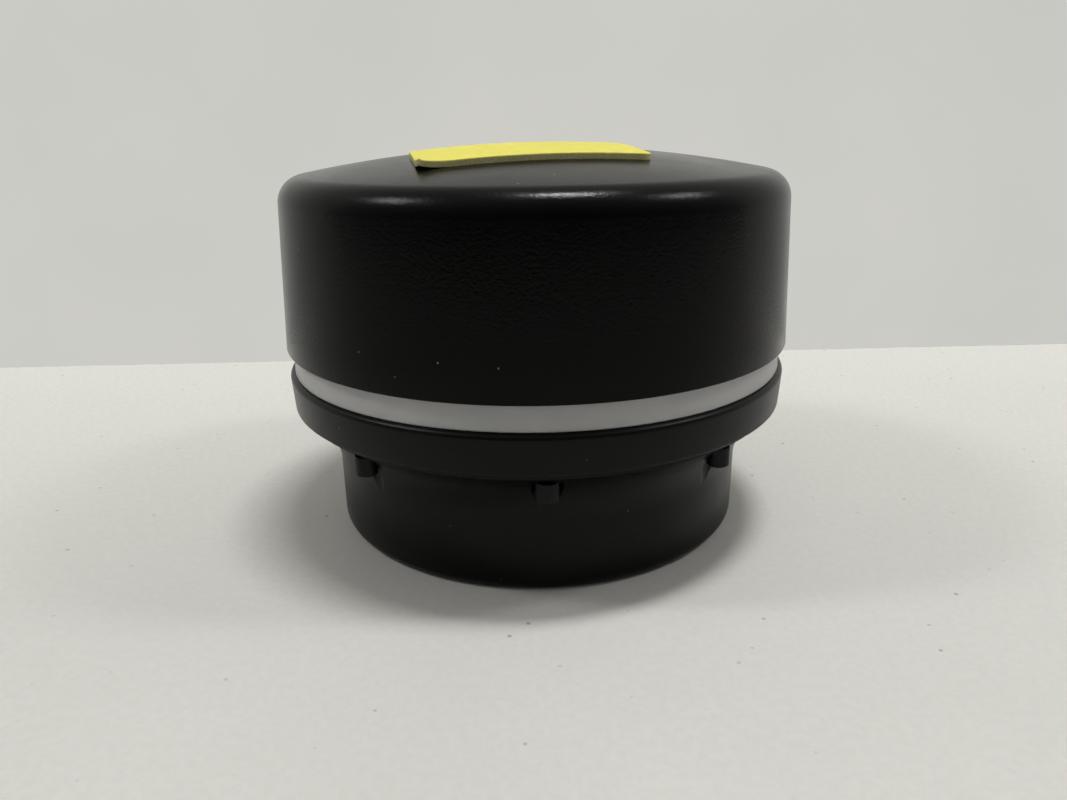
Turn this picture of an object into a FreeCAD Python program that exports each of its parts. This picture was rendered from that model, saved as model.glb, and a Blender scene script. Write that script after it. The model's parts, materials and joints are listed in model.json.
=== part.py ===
import FreeCAD, Part
import math
import os
import Sketcher

# Cooled camera head for a C-mount port: a round body that stands on its lens mount.
# Frame: millimetres, +Z up, origin at the centre of the face it rests on, -Y is the front.

os.makedirs("parts", exist_ok=True)
doc = FreeCAD.newDocument("CooledCamera")
sheet = doc.addObject("Spreadsheet::Sheet", "Sizes")

# Driving dimensions, in millimetres unless the comment says otherwise.
DIMENSIONS = [
    # lens-side barrel
    ("barrelRadius", 40.0),
    ("barrelWall", 4.0),
    ("barrelFoot", 1.8),
    ("barrelFloor", 7.0),
    ("coveStart", 12.5),
    ("coveRadius", 13.0),
    ("rimBase", 23.2),
    ("rimReach", 6.0),
    ("portLedge", 1.5),
    # flange that carries everything
    ("flangeBase", 24.35),
    ("flangeTop", 31.2),
    ("flangeInset", 0.5),
    ("flangeTopInset", 0.1),
    ("flangeLip", 1.0),
    ("spigotDrop", 2.0),
    ("registerRise", 1.0),
    ("registerInset", 3.7),
    # pale ring and cover
    ("ringFootInset", 1.05),
    ("ringInset", 1.4),
    ("ringHeight", 4.5),
    ("ringLip", 2.0),
    ("coverRadius", 48.0),
    ("coverEdge", 65.5),
    ("coverDraft", 0.048),  # radius lost per millimetre of height
    ("coverCrown", 4.85),
    ("domeRise", 4.86),
    ("coverWall", 2.0),
    ("postRadius", 3.2),
    ("postInset", 7.5),
    # lens thread ring and window
    ("mountRadius", 23.0),
    ("mountDepth", 5.0),
    ("threadRadius", 12.3),
    ("mountScrewInset", 5.2),
    ("windowRadius", 13.5),
    ("windowDepth", 1.1),
    ("sealGap", 1.0),
    ("retainerRim", 4.5),
    ("retainerLedge", 2.0),
    ("retainerHeight", 3.5),
    ("retainerScrewReach", 2.3),
    # sensor, 17.526 behind the mount face
    ("sensorPlane", 17.526),
    ("dieLength", 11.25),
    ("dieWidth", 7.03),
    ("packageSide", 20.0),
    ("packageDepth", 2.2),
    ("cavityDepth", 1.2),
    ("lidDepth", 0.7),
    ("boardThickness", 1.2),
    # sensor-shift stage
    ("stageBase", 15.1),
    ("stageDepth", 4.0),
    ("frameSide", 54.0),
    ("frameOpening", 40.0),
    ("frameCorner", 7.0),
    ("xCarriageLength", 38.0),
    ("xCarriageWidth", 39.0),
    ("xOpeningLength", 29.0),
    ("xOpeningWidth", 30.0),
    ("yCarriageSide", 28.0),
    ("yOpeningSide", 21.0),
    ("xRodRadius", 0.75),
    ("yRodRadius", 0.6),
    ("xRodSpread", 17.0),
    ("yRodSpread", 12.25),
    ("stageScrewSpread", 23.2),
    # cooling stack
    ("coolerSide", 20.0),
    ("coolerPlate", 0.7),
    ("coolerGap", 2.0),
    ("greaseGap", 0.1),
    ("coldPlateSide", 17.0),
    ("coldPlateDepth", 1.0),
    ("fingerSide", 9.0),
    # circuit boards
    ("circuitThickness", 1.6),
    ("circuitInset", 12.0),
    ("lowerStandoff", 7.0),
    ("upperStandoff", 12.0),
    ("standoffSpread", 21.9),
    ("processorSide", 23.0),
    ("processorDepth", 2.2),
    # rear socket and its window
    ("bracketInset", 8.6),
    ("bracketWidth", 39.6),
    ("bracketHeight", 24.0),
    ("sheetThickness", 1.5),
    ("windowWidth", 38.6),
    ("windowBase", 38.5),
    ("windowHeight", 15.0),
    ("socketMiddle", 45.6),
    # screws
    ("barrelScrewReach", 2.7),
    ("barrelScrewSeat", 21.6),
    ("barrelScrewHead", 1.9),
    ("barrelScrewRise", 3.6),
    ("barrelCounterbore", 2.65),
    # fits
    ("screwPlay", 0.05),
    ("slidePlay", 0.03),
    ("locatingPlay", 0.1),
    ("shiftPlay", 0.02),
    # asset tag
    ("tagLength", 38.1),
    ("tagWidth", 19.0),
    ("tagDepth", 1.0),
]

for row, (alias, value) in enumerate(DIMENSIONS, start=1):
    sheet.set("A%d" % row, alias)
    sheet.set("B%d" % row, str(value))
    sheet.setAlias("B%d" % row, alias)
doc.recompute()


class Size:
    """A number together with the spreadsheet expression that gives it."""

    def __init__(self, value, text):
        self.value = value
        self.text = text

    def __add__(self, other):
        other = as_size(other)
        return Size(self.value + other.value, "(%s + %s)" % (self.text, other.text))

    def __radd__(self, other):
        return as_size(other) + self

    def __sub__(self, other):
        other = as_size(other)
        return Size(self.value - other.value, "(%s - %s)" % (self.text, other.text))

    def __rsub__(self, other):
        return as_size(other) - self

    def __mul__(self, other):
        other = as_size(other)
        return Size(self.value * other.value, "(%s * %s)" % (self.text, other.text))

    def __rmul__(self, other):
        return as_size(other) * self

    def __truediv__(self, other):
        other = as_size(other)
        return Size(self.value / other.value, "(%s / %s)" % (self.text, other.text))

    def __neg__(self):
        return Size(-self.value, "(-%s)" % self.text)


def as_size(number):
    if isinstance(number, Size):
        return number
    return Size(float(number), "(%s)" % repr(float(number)))


class Sheet:
    """Gives each alias of the spreadsheet as a Size."""

    def __getattr__(self, alias):
        return Size(float(sheet.get(alias)), "Sizes.%s" % alias)


D = Sheet()


def polar(radius, degrees):
    """The point at this radius and angle, as two Sizes."""
    radius = as_size(radius)
    angle = math.radians(degrees)
    x = Size(radius.value * math.cos(angle), "(%s * cos(%s deg))" % (radius.text, degrees))
    y = Size(radius.value * math.sin(angle), "(%s * sin(%s deg))" % (radius.text, degrees))
    return x, y


def bind(obj, prop, amount):
    amount = as_size(amount)
    obj.setExpression(prop, amount.text)


nodes = []


def node(obj, name):
    """Registers a finished object as one sub-part of the assembly."""
    obj.Label = name
    nodes.append((name, obj))
    return obj


# ---------------------------------------------------------------- sketches and bodies


def new_body(name):
    body = doc.addObject("PartDesign::Body", name)
    body.AllowCompound = True
    return node(body, name)


def new_sketch(body, name, role, offset=0.0):
    """A sketch on one of the body's own origin planes, moved along its normal."""
    sketch = body.newObject("Sketcher::SketchObject", name)
    plane = [f for f in body.Origin.OriginFeatures if f.Role == role][0]
    sketch.AttachmentSupport = [(plane, "")]
    sketch.MapMode = "FlatFace"
    if isinstance(offset, Size) or offset:
        bind(sketch, "AttachmentOffset.Base.z", offset)
    return sketch


def hold(sketch, geometry, vertex, x, y):
    """Fixes one point of a sketch at two sizes."""
    for kind, amount in (("DistanceX", as_size(x)), ("DistanceY", as_size(y))):
        index = sketch.addConstraint(
            Sketcher.Constraint(kind, -1, 1, geometry, vertex, amount.value)
        )
        sketch.setExpression("Constraints[%d]" % index, amount.text)


def outline(sketch, points, arcs=None):
    """A closed outline through points; arcs maps a side's number to its centre and turn."""
    arcs = arcs or {}
    count = len(points)
    first = sketch.GeometryCount
    for i in range(count):
        ax, ay = [as_size(v).value for v in points[i]]
        bx, by = [as_size(v).value for v in points[(i + 1) % count]]
        start = FreeCAD.Vector(ax, ay, 0)
        end = FreeCAD.Vector(bx, by, 0)
        if i not in arcs:
            sketch.addGeometry(Part.LineSegment(start, end), False)
            continue
        cx, cy = [as_size(v).value for v in arcs[i][0]]
        centre = FreeCAD.Vector(cx, cy, 0)
        a0 = math.atan2(ay - cy, ax - cx)
        a1 = math.atan2(by - cy, bx - cx)
        radius = start.distanceToPoint(centre)
        circle = Part.Circle(centre, FreeCAD.Vector(0, 0, 1), radius)
        if arcs[i][1] == "left":
            sketch.addGeometry(Part.ArcOfCircle(circle, a0, a1), False)
        else:
            sketch.addGeometry(Part.ArcOfCircle(circle, a1, a0), False)

    def ends(i):
        if i in arcs and arcs[i][1] == "right":
            return 2, 1
        return 1, 2

    for i in range(count):
        here = ends(i)
        after = ends((i + 1) % count)
        join = Sketcher.Constraint(
            "Coincident", first + i, here[1], first + (i + 1) % count, after[0]
        )
        sketch.addConstraint(join)
    for i in range(count):
        hold(sketch, first + i, ends(i)[0], points[i][0], points[i][1])
    return first


def circles(sketch, centres, radius):
    radius = as_size(radius)
    for x, y in centres:
        centre = FreeCAD.Vector(as_size(x).value, as_size(y).value, 0)
        circle = Part.Circle(centre, FreeCAD.Vector(0, 0, 1), radius.value)
        number = sketch.addGeometry(circle, False)
        hold(sketch, number, 3, x, y)
        index = sketch.addConstraint(Sketcher.Constraint("Radius", number, radius.value))
        sketch.setExpression("Constraints[%d]" % index, radius.text)


def rectangle(sketch, x, y, width, depth):
    """A rectangle about the point x, y."""
    left, right = x - as_size(width) / 2, x + as_size(width) / 2
    low, high = y - as_size(depth) / 2, y + as_size(depth) / 2
    outline(sketch, [(left, low), (right, low), (right, high), (left, high)])


def hexagons(sketch, centres, radius):
    for x, y in centres:
        corners = [polar(radius, 60 * k) for k in range(6)]
        outline(sketch, [(x + dx, y + dy) for dx, dy in corners])


def turned(body, name, points, arcs=None, cut=False):
    """A revolution, or a groove, about the body's Z axis. The outline holds radius and height."""
    sketch = new_sketch(body, name + "Profile", "XZ_Plane")
    outline(sketch, points, arcs)
    kind = "PartDesign::Groove" if cut else "PartDesign::Revolution"
    feature = body.newObject(kind, name)
    feature.Profile = sketch
    feature.ReferenceAxis = (sketch, ["V_Axis"])
    feature.Angle = 360.0
    sketch.Visibility = False
    return feature


def extruded(body, name, draw, base, height, cut=False, down=False, plane="XY_Plane"):
    """A pad, or a pocket, of what draw puts in a sketch at the height base."""
    sketch = new_sketch(body, name + "Sketch", plane, base)
    draw(sketch)
    feature = body.newObject("PartDesign::Pocket" if cut else "PartDesign::Pad", name)
    feature.Profile = sketch
    bind(feature, "Length", height)
    # a pocket runs against its sketch's normal unless it is reversed
    feature.Reversed = cut != down
    sketch.Visibility = False
    return feature


def rounded(body, name, feature, picks, radius):
    """A fillet on the edges of the last feature that picks accepts."""
    doc.recompute()
    edges = []
    for number, edge in enumerate(feature.Shape.Edges, start=1):
        if picks(edge):
            edges.append("Edge%d" % number)
    fillet = body.newObject("PartDesign::Fillet", name)
    fillet.Base = (feature, edges)
    bind(fillet, "Radius", radius)
    return fillet


def ring_edge(radius, height):
    """Accepts a full circle about Z with this radius and height."""
    radius, height = as_size(radius).value, as_size(height).value

    def picks(edge):
        if edge.Degenerated or not isinstance(edge.Curve, Part.Circle):
            return False
        curve = edge.Curve
        same_radius = abs(curve.Radius - radius) < 0.01
        same_height = abs(curve.Center.z - height) < 0.01
        on_axis = math.hypot(curve.Center.x, curve.Center.y) < 0.01
        return same_radius and same_height and on_axis

    return picks


def upright_edge(spread_x, spread_y):
    """Accepts the vertical edges at plus and minus these distances."""
    spread_x, spread_y = as_size(spread_x).value, as_size(spread_y).value

    def picks(edge):
        ends = [v.Point for v in edge.Vertexes]
        if len(ends) != 2:
            return False
        straight = abs(ends[0].x - ends[1].x) < 0.001 and abs(ends[0].y - ends[1].y) < 0.001
        at_x = abs(abs(ends[0].x) - spread_x) < 0.01
        at_y = abs(abs(ends[0].y) - spread_y) < 0.01
        return straight and at_x and at_y

    return picks


# ---------------------------------------------------------------- primitives


def block(name, x, y, z, length, width, height):
    """A box by its centre in X and Y and its underside in Z."""
    box = doc.addObject("Part::Box", name)
    for prop, amount in (("Length", length), ("Width", width), ("Height", height)):
        bind(box, prop, amount)
    bind(box, "Placement.Base.x", as_size(x) - as_size(length) / 2)
    bind(box, "Placement.Base.y", as_size(y) - as_size(width) / 2)
    bind(box, "Placement.Base.z", z)
    return box


def rod(name, axis, x, y, z, radius, length):
    """A cylinder from x, y, z along +X, +Y or +Z."""
    cylinder = doc.addObject("Part::Cylinder", name)
    turns = {"X": ((0, 1, 0), 90), "Y": ((1, 0, 0), -90), "Z": ((0, 0, 1), 0)}
    direction, angle = turns[axis]
    turn = FreeCAD.Rotation(FreeCAD.Vector(*direction), angle)
    cylinder.Placement = FreeCAD.Placement(FreeCAD.Vector(), turn)
    bind(cylinder, "Radius", radius)
    bind(cylinder, "Height", length)
    for prop, amount in (("x", x), ("y", y), ("z", z)):
        bind(cylinder, "Placement.Base." + prop, amount)
    return cylinder


def torus(name, z, major, minor):
    ring = doc.addObject("Part::Torus", name)
    bind(ring, "Radius1", major)
    bind(ring, "Radius2", minor)
    bind(ring, "Placement.Base.z", z)
    return ring


def minus(name, base, tools):
    cut = doc.addObject("Part::Cut", name)
    cut.Base = base
    cut.Tool = tools[0] if len(tools) == 1 else union(name + "Tools", tools)
    return cut


def union(name, shapes):
    fuse = doc.addObject("Part::MultiFuse", name)
    fuse.Shapes = shapes
    return fuse


def group(name, shapes):
    compound = doc.addObject("Part::Compound", name)
    compound.Links = shapes
    return node(compound, name)


def fasteners(name, centres, seat, head, rise, shank, length, socket, up=True):
    """Socket-head screws that share one node. up means that the shank points up."""
    body = new_body(name)
    extruded(body, name + "Heads", lambda s: circles(s, centres, head), seat, rise, down=up)
    extruded(body, name + "Shanks", lambda s: circles(s, centres, shank), seat, length, down=not up)
    rise = as_size(rise)
    outer = seat - rise if up else seat + rise
    extruded(
        body,
        name + "Sockets",
        lambda s: hexagons(s, centres, socket),
        outer,
        rise * 0.5,
        cut=True,
        down=not up,
    )
    return body


def standoffs(name, centres, base, height, radius, bore):
    """Hexagonal spacers with a through bore."""
    body = new_body(name)
    extruded(body, name + "Hex", lambda s: hexagons(s, centres, radius), base, height)
    extruded(body, name + "Bore", lambda s: circles(s, centres, bore), base, height, cut=True)
    return body


def square(spread):
    """Four points on the corners of a square."""
    spread = as_size(spread)
    return [(spread, spread), (-spread, spread), (-spread, -spread), (spread, -spread)]


def around(radius, angles):
    return [polar(radius, angle) for angle in angles]


# ---------------------------------------------------------------- shared heights

cover_base = D.flangeTop + D.ringHeight
cover_top = D.coverEdge + D.domeRise
stage_top = D.stageBase + D.stageDepth
flange_deck = D.flangeTop + D.registerRise
spigot_face = D.flangeBase - D.spigotDrop
cavity_ceiling = D.stageBase + D.stageDepth - D.packageDepth + D.cavityDepth
cold_head = stage_top + D.boardThickness + 0.2
cooler_base = cold_head + D.coldPlateDepth + D.greaseGap
cooler_top = cooler_base + 2 * D.coolerPlate + D.coolerGap
lower_board = flange_deck + D.lowerStandoff
upper_board = lower_board + D.circuitThickness + D.upperStandoff

# ---------------------------------------------------------------- shared radii

edge_radius = D.coverRadius - D.coverDraft * (D.coverEdge - cover_base)
flange_radius = D.coverRadius - D.flangeInset
flange_top_radius = D.coverRadius - D.flangeTopInset
register_radius = D.coverRadius - D.registerInset
ring_foot_radius = D.coverRadius - D.ringFootInset
ring_radius = D.coverRadius - D.ringInset
post_circle = D.coverRadius - D.postInset
circuit_radius = D.coverRadius - D.circuitInset
bracket_face = D.coverRadius - D.bracketInset
barrel_bore = D.barrelRadius - D.barrelWall
rim_radius = D.barrelRadius + D.rimReach
barrel_screw_circle = D.barrelRadius + D.barrelScrewReach
mount_screw_circle = D.mountRadius - D.mountScrewInset
port_radius = D.windowRadius - D.portLedge
retainer_radius = D.windowRadius + D.retainerRim
retainer_bore = D.windowRadius - D.retainerLedge
retainer_screw_circle = D.windowRadius + D.retainerScrewReach

BARREL_SCREW_ANGLES = [45 * k for k in range(8)]
POST_ANGLES = [22.5, 157.5, 247.5, 292.5]
MOUNT_SCREW_ANGLES = [30, 150, 270]
RETAINER_SCREW_ANGLES = [90, 210, 330]

M1_6 = (0.8, 1.5, 0.9, 0.75)  # shank radius, head radius, head height, socket radius
M2 = (1.0, 1.9, 2.0, 0.85)
M2_5 = (1.25, 2.25, 2.5, 1.15)
M3 = (1.5, 2.75, 3.0, 1.4)


def dome_centre(edge, edge_height, top):
    """The centre, on Z, of the arc from the apex at top to the edge."""
    rise = top - edge_height
    radius = (edge * edge + rise * rise) / (2 * rise)
    return 0.0, top - radius


# ---------------------------------------------------------------- lens-side barrel

barrel = new_body("mount_barrel")
cove_centre = (D.barrelRadius + D.coveRadius, D.coveStart)
cove_drop = D.rimBase.value - D.coveStart.value
cove_reach = Size(
    cove_centre[0].value - math.sqrt(D.coveRadius.value**2 - cove_drop**2),
    "(Sizes.barrelRadius + Sizes.coveRadius"
    " - sqrt(Sizes.coveRadius^2 - (Sizes.rimBase - Sizes.coveStart)^2))",
)
barrel_outline = [
    (D.mountRadius + D.screwPlay, 0),
    (D.barrelRadius, 0),
    (D.barrelRadius, D.coveStart),
    (cove_reach, D.rimBase),
    (rim_radius, D.rimBase),
    (rim_radius, D.flangeBase),
    (barrel_bore, D.flangeBase),
    (barrel_bore, D.barrelFloor),
    (port_radius, D.barrelFloor),
    (port_radius, D.mountDepth),
    (D.mountRadius + D.screwPlay, D.mountDepth),
]
barrel_turned = turned(barrel, "BarrelTurned", barrel_outline, {2: (cove_centre, "right")})
rounded(barrel, "BarrelFoot", barrel_turned, ring_edge(D.barrelRadius, 0), D.barrelFoot)
barrel_screw_points = around(barrel_screw_circle, BARREL_SCREW_ANGLES)
extruded(
    barrel,
    "BarrelCounterbores",
    lambda s: circles(s, barrel_screw_points, D.barrelCounterbore),
    D.barrelScrewSeat,
    D.barrelScrewSeat,
    cut=True,
    down=True,
)
extruded(
    barrel,
    "BarrelScrewHoles",
    lambda s: circles(s, barrel_screw_points, M2[0] + D.screwPlay),
    D.coveStart,
    D.flangeBase - D.coveStart,
    cut=True,
)
extruded(
    barrel,
    "MountScrewHoles",
    lambda s: circles(s, around(mount_screw_circle, MOUNT_SCREW_ANGLES), M2[0] + D.screwPlay),
    D.mountDepth,
    1.8,
    cut=True,
)
extruded(
    barrel,
    "RetainerScrewHoles",
    lambda s: circles(s, around(retainer_screw_circle, RETAINER_SCREW_ANGLES), M1_6[0] + D.screwPlay),
    D.barrelFloor,
    1.7,
    cut=True,
    down=True,
)

# ---------------------------------------------------------------- flange

flange = new_body("base_flange")
spigot_radius = barrel_bore - D.locatingPlay
groove_floor = spigot_radius - 1.1
flange_outline = [
    (0, spigot_face),
    (spigot_radius, spigot_face),
    (spigot_radius, spigot_face + 0.35),
    (groove_floor, spigot_face + 0.35),
    (groove_floor, spigot_face + 1.55),
    (spigot_radius, spigot_face + 1.55),
    (spigot_radius, D.flangeBase),
    (flange_radius, D.flangeBase),
    (flange_top_radius, D.flangeTop),
    (register_radius, D.flangeTop),
    (register_radius, flange_deck),
    (0, flange_deck),
]
flange_turned = turned(flange, "FlangeTurned", flange_outline)
flange_lip = rounded(
    flange, "FlangeLip", flange_turned, ring_edge(flange_top_radius, D.flangeTop), D.flangeLip
)
rounded(flange, "FlangeEdge", flange_lip, ring_edge(flange_radius, D.flangeBase), 0.3)
extruded(
    flange,
    "CoolerPocket",
    lambda s: rectangle(s, as_size(0), as_size(0), D.coolerSide + 1.4, D.coolerSide + 1.4),
    spigot_face,
    cooler_top - spigot_face,
    cut=True,
)
extruded(
    flange,
    "CableSlot",
    lambda s: rectangle(s, as_size(0), as_size(18), 18, 3),
    spigot_face,
    flange_deck - spigot_face,
    cut=True,
)
extruded(
    flange,
    "BarrelThreads",
    lambda s: circles(s, barrel_screw_points, M2[0] + D.screwPlay),
    D.flangeBase,
    4.6,
    cut=True,
)
post_points = around(post_circle, POST_ANGLES)
extruded(
    flange,
    "CoverScrewHoles",
    lambda s: circles(s, post_points, M3[0] + D.screwPlay),
    D.flangeBase,
    flange_deck - D.flangeBase,
    cut=True,
)
extruded(
    flange,
    "CoverScrewSeats",
    lambda s: circles(s, post_points, M3[1] + 0.25),
    D.flangeBase,
    3.1,
    cut=True,
)
extruded(
    flange,
    "StageThreads",
    lambda s: circles(s, square(D.stageScrewSpread), M2[0] + D.screwPlay),
    spigot_face,
    5.0,
    cut=True,
)
standoff_points = square(D.standoffSpread)
extruded(
    flange,
    "StandoffThreads",
    lambda s: circles(s, standoff_points, M2_5[0] + D.screwPlay),
    flange_deck,
    3.6,
    cut=True,
    down=True,
)
bracket_screw_line = bracket_face - 3.9
bracket_points = [(as_size(-13), bracket_screw_line), (as_size(13), bracket_screw_line)]
extruded(
    flange,
    "BracketThreads",
    lambda s: circles(s, bracket_points, M2[0] + D.screwPlay),
    flange_deck,
    4.6,
    cut=True,
    down=True,
)

# ---------------------------------------------------------------- pale ring and cover

accent = new_body("accent_ring")
lip_radius = D.coverRadius - D.coverWall - 0.3
ring_bore = register_radius + D.locatingPlay
turned(
    accent,
    "AccentTurned",
    [
        (ring_bore, D.flangeTop),
        (ring_foot_radius, D.flangeTop),
        (ring_radius, cover_base),
        (lip_radius, cover_base),
        (lip_radius, cover_base + D.ringLip),
        (ring_bore, cover_base + D.ringLip),
    ],
)

cover = new_body("top_cover")
inner_base = D.coverRadius - D.coverWall
inner_edge = edge_radius - D.coverWall
inner_height = D.coverEdge - D.coverWall
outer_dome = dome_centre(edge_radius, D.coverEdge, cover_top)
inner_dome = dome_centre(inner_edge, inner_height, cover_top - D.coverWall)
cover_turned = turned(
    cover,
    "CoverTurned",
    [
        (inner_base, cover_base),
        (D.coverRadius, cover_base),
        (edge_radius, D.coverEdge),
        (0, cover_top),
        (0, cover_top - D.coverWall),
        (inner_edge, inner_height),
    ],
    {2: (outer_dome, "left"), 4: (inner_dome, "right")},
)
cover_crown = rounded(
    cover, "CoverCrown", cover_turned, ring_edge(edge_radius, D.coverEdge), D.coverCrown
)
cover_inside = rounded(
    cover, "CoverInside", cover_crown, ring_edge(inner_edge, inner_height), D.coverCrown - D.coverWall
)
post_head = D.coverEdge - 1.8
extruded(
    cover,
    "CoverPosts",
    lambda s: circles(s, post_points, D.postRadius),
    flange_deck,
    post_head - flange_deck,
)
extruded(
    cover,
    "PostThreads",
    lambda s: circles(s, post_points, M3[0] + D.screwPlay),
    flange_deck,
    9.0,
    cut=True,
)
extruded(
    cover,
    "SocketWindow",
    lambda s: rectangle(
        s, as_size(0), D.windowBase + D.windowHeight / 2, D.windowWidth, D.windowHeight
    ),
    -30.0,
    30.0,
    cut=True,
    down=True,
    plane="XZ_Plane",
)

# ---------------------------------------------------------------- lens thread ring and window

mount = new_body("c_mount_ring")
turned(
    mount,
    "MountTurned",
    [
        (D.threadRadius, 0),
        (D.mountRadius, 0),
        (D.mountRadius, D.mountDepth),
        (D.threadRadius, D.mountDepth),
    ],
)
mount_screw_points = around(mount_screw_circle, MOUNT_SCREW_ANGLES)
extruded(
    mount,
    "MountHoles",
    lambda s: circles(s, mount_screw_points, M2[0] + D.screwPlay),
    0.0,
    D.mountDepth,
    cut=True,
)
extruded(
    mount,
    "MountSeats",
    lambda s: circles(s, mount_screw_points, M2[1] + 0.15),
    0.0,
    2.4,
    cut=True,
)
fasteners(
    "mount_ring_screws", mount_screw_points, as_size(2.4), M2[1], M2[2], M2[0], 4.2, M2[3]
)

window = new_body("sensor_window")
turned(
    window,
    "WindowDisc",
    [
        (0, D.barrelFloor),
        (D.windowRadius, D.barrelFloor),
        (D.windowRadius, D.barrelFloor + D.windowDepth),
        (0, D.barrelFloor + D.windowDepth),
    ],
)
seal_height = D.barrelFloor + D.windowDepth + D.sealGap / 2
node(torus("window_seal", seal_height, D.windowRadius - 0.9, D.sealGap / 2 - 0.02), "window_seal")

retainer = new_body("window_retainer")
retainer_top = D.barrelFloor + D.retainerHeight
turned(
    retainer,
    "RetainerTurned",
    [
        (D.windowRadius + D.locatingPlay, D.barrelFloor),
        (retainer_radius, D.barrelFloor),
        (retainer_radius, retainer_top),
        (retainer_bore, retainer_top),
        (retainer_bore, D.barrelFloor + D.windowDepth + D.sealGap),
        (D.windowRadius + D.locatingPlay, D.barrelFloor + D.windowDepth + D.sealGap),
    ],
)
retainer_points = around(retainer_screw_circle, RETAINER_SCREW_ANGLES)
extruded(
    retainer,
    "RetainerHoles",
    lambda s: circles(s, retainer_points, M1_6[0] + D.screwPlay),
    D.barrelFloor,
    D.retainerHeight,
    cut=True,
)
fasteners(
    "retainer_screws", retainer_points, retainer_top, M1_6[1], M1_6[2], M1_6[0],
    D.retainerHeight + 1.6, M1_6[3], up=False,
)

# ---------------------------------------------------------------- screws of the housing

fasteners(
    "barrel_screws", barrel_screw_points, D.barrelScrewSeat, D.barrelScrewHead,
    D.barrelScrewRise, M2[0], D.flangeBase - D.barrelScrewSeat + 4.5, 0.85,
)
fasteners(
    "cover_screws", post_points, D.flangeBase + 3.1, M3[1], M3[2], M3[0],
    flange_deck - D.flangeBase - 3.1 + 8.8, M3[3],
)
node(torus("barrel_seal", spigot_face + 0.95, groove_floor + 0.58, 0.57), "barrel_seal")

# ---------------------------------------------------------------- sensor-shift stage

rod_height_x = D.stageBase + 1.1
rod_height_y = D.stageBase + 3.0
shift_axis = D.stageBase + 2.0
piezo_shelf = rod_height_x + D.xRodRadius + 0.05


def slab(body, name, length, width, hole_length, hole_width):
    extruded(
        body,
        name,
        lambda s: rectangle(s, as_size(0), as_size(0), length, width),
        D.stageBase,
        D.stageDepth,
    )
    return extruded(
        body,
        name + "Opening",
        lambda s: rectangle(s, as_size(0), as_size(0), hole_length, hole_width),
        D.stageBase,
        D.stageDepth,
        cut=True,
    )


def cross_bores(body, name, points, radius, depth, start, plane):
    """Bores along X or Y. points are (across, height)."""
    return extruded(
        body, name, lambda s: circles(s, points, radius), start, depth, cut=True, plane=plane
    )


frame = new_body("stage_frame")
frame_slab = slab(frame, "FrameSlab", D.frameSide, D.frameSide, D.frameOpening, D.frameOpening)
rounded(
    frame, "FrameCorners", frame_slab, upright_edge(D.frameSide / 2, D.frameSide / 2), D.frameCorner
)
extruded(
    frame,
    "FrameScrewHoles",
    lambda s: circles(s, square(D.stageScrewSpread), M2[0] + D.screwPlay),
    D.stageBase,
    D.stageDepth,
    cut=True,
)
x_rod_points = [(D.xRodSpread, rod_height_x), (-D.xRodSpread, rod_height_x)]
cross_bores(
    frame, "FrameRodBores", x_rod_points, D.xRodRadius + 0.01, 50.0, -25.0, "YZ_Plane"
)
extruded(
    frame,
    "PiezoPocket",
    lambda s: rectangle(s, -D.frameOpening / 2 - 2.0, as_size(0), 8.0, 3.4),
    D.stageBase,
    D.stageDepth,
    cut=True,
)
cross_bores(
    frame, "FramePlungerBore", [(as_size(0), shift_axis)], 1.5 + D.screwPlay, 9.0, 18.5, "YZ_Plane"
)

stage_points = square(D.stageScrewSpread)
standoffs(
    "stage_standoffs", stage_points, stage_top, spigot_face - stage_top, as_size(2.2), M2[0] + D.screwPlay
)
fasteners(
    "stage_screws", stage_points, D.stageBase, M2[1], M2[2], M2[0],
    spigot_face - D.stageBase + 4.8, M2[3],
)

x_rods = [
    rod("XRod%d" % k, "X", -25.0, side, rod_height_x, D.xRodRadius, 50.0)
    for k, side in enumerate((D.xRodSpread, -D.xRodSpread))
]
group("x_guide_rods", x_rods)

x_carriage = new_body("x_carriage")
slab(x_carriage, "XSlab", D.xCarriageLength, D.xCarriageWidth, D.xOpeningLength, D.xOpeningWidth)
cross_bores(
    x_carriage, "XRodBores", x_rod_points, D.xRodRadius + D.slidePlay,
    D.xCarriageLength + 2, -D.xCarriageLength / 2 - 1, "YZ_Plane",
)
y_rod_points = [(D.yRodSpread, rod_height_y), (-D.yRodSpread, rod_height_y)]
y_rod_start = -D.xCarriageWidth / 2 + 0.8
y_rod_length = D.xCarriageWidth - 1.6
cross_bores(
    x_carriage, "YRodSockets", y_rod_points, D.yRodRadius + 0.01,
    y_rod_length, y_rod_start, "XZ_Plane",
)
extruded(
    x_carriage,
    "YPiezoPocket",
    lambda s: rectangle(s, as_size(0), -D.xOpeningWidth / 2 - 1.5, 3.4, 5.0),
    piezo_shelf,
    3.0,
    cut=True,
)
cross_bores(
    x_carriage, "YPlungerBore", [(as_size(0), rod_height_y)], 0.8 + D.screwPlay,
    6.0, -D.xCarriageWidth / 2 - 0.5, "XZ_Plane",
)

y_rods = [
    rod("YRod%d" % k, "Y", side, y_rod_start, rod_height_y, D.yRodRadius, y_rod_length)
    for k, side in enumerate((D.yRodSpread, -D.yRodSpread))
]
group("y_guide_rods", y_rods)

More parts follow.
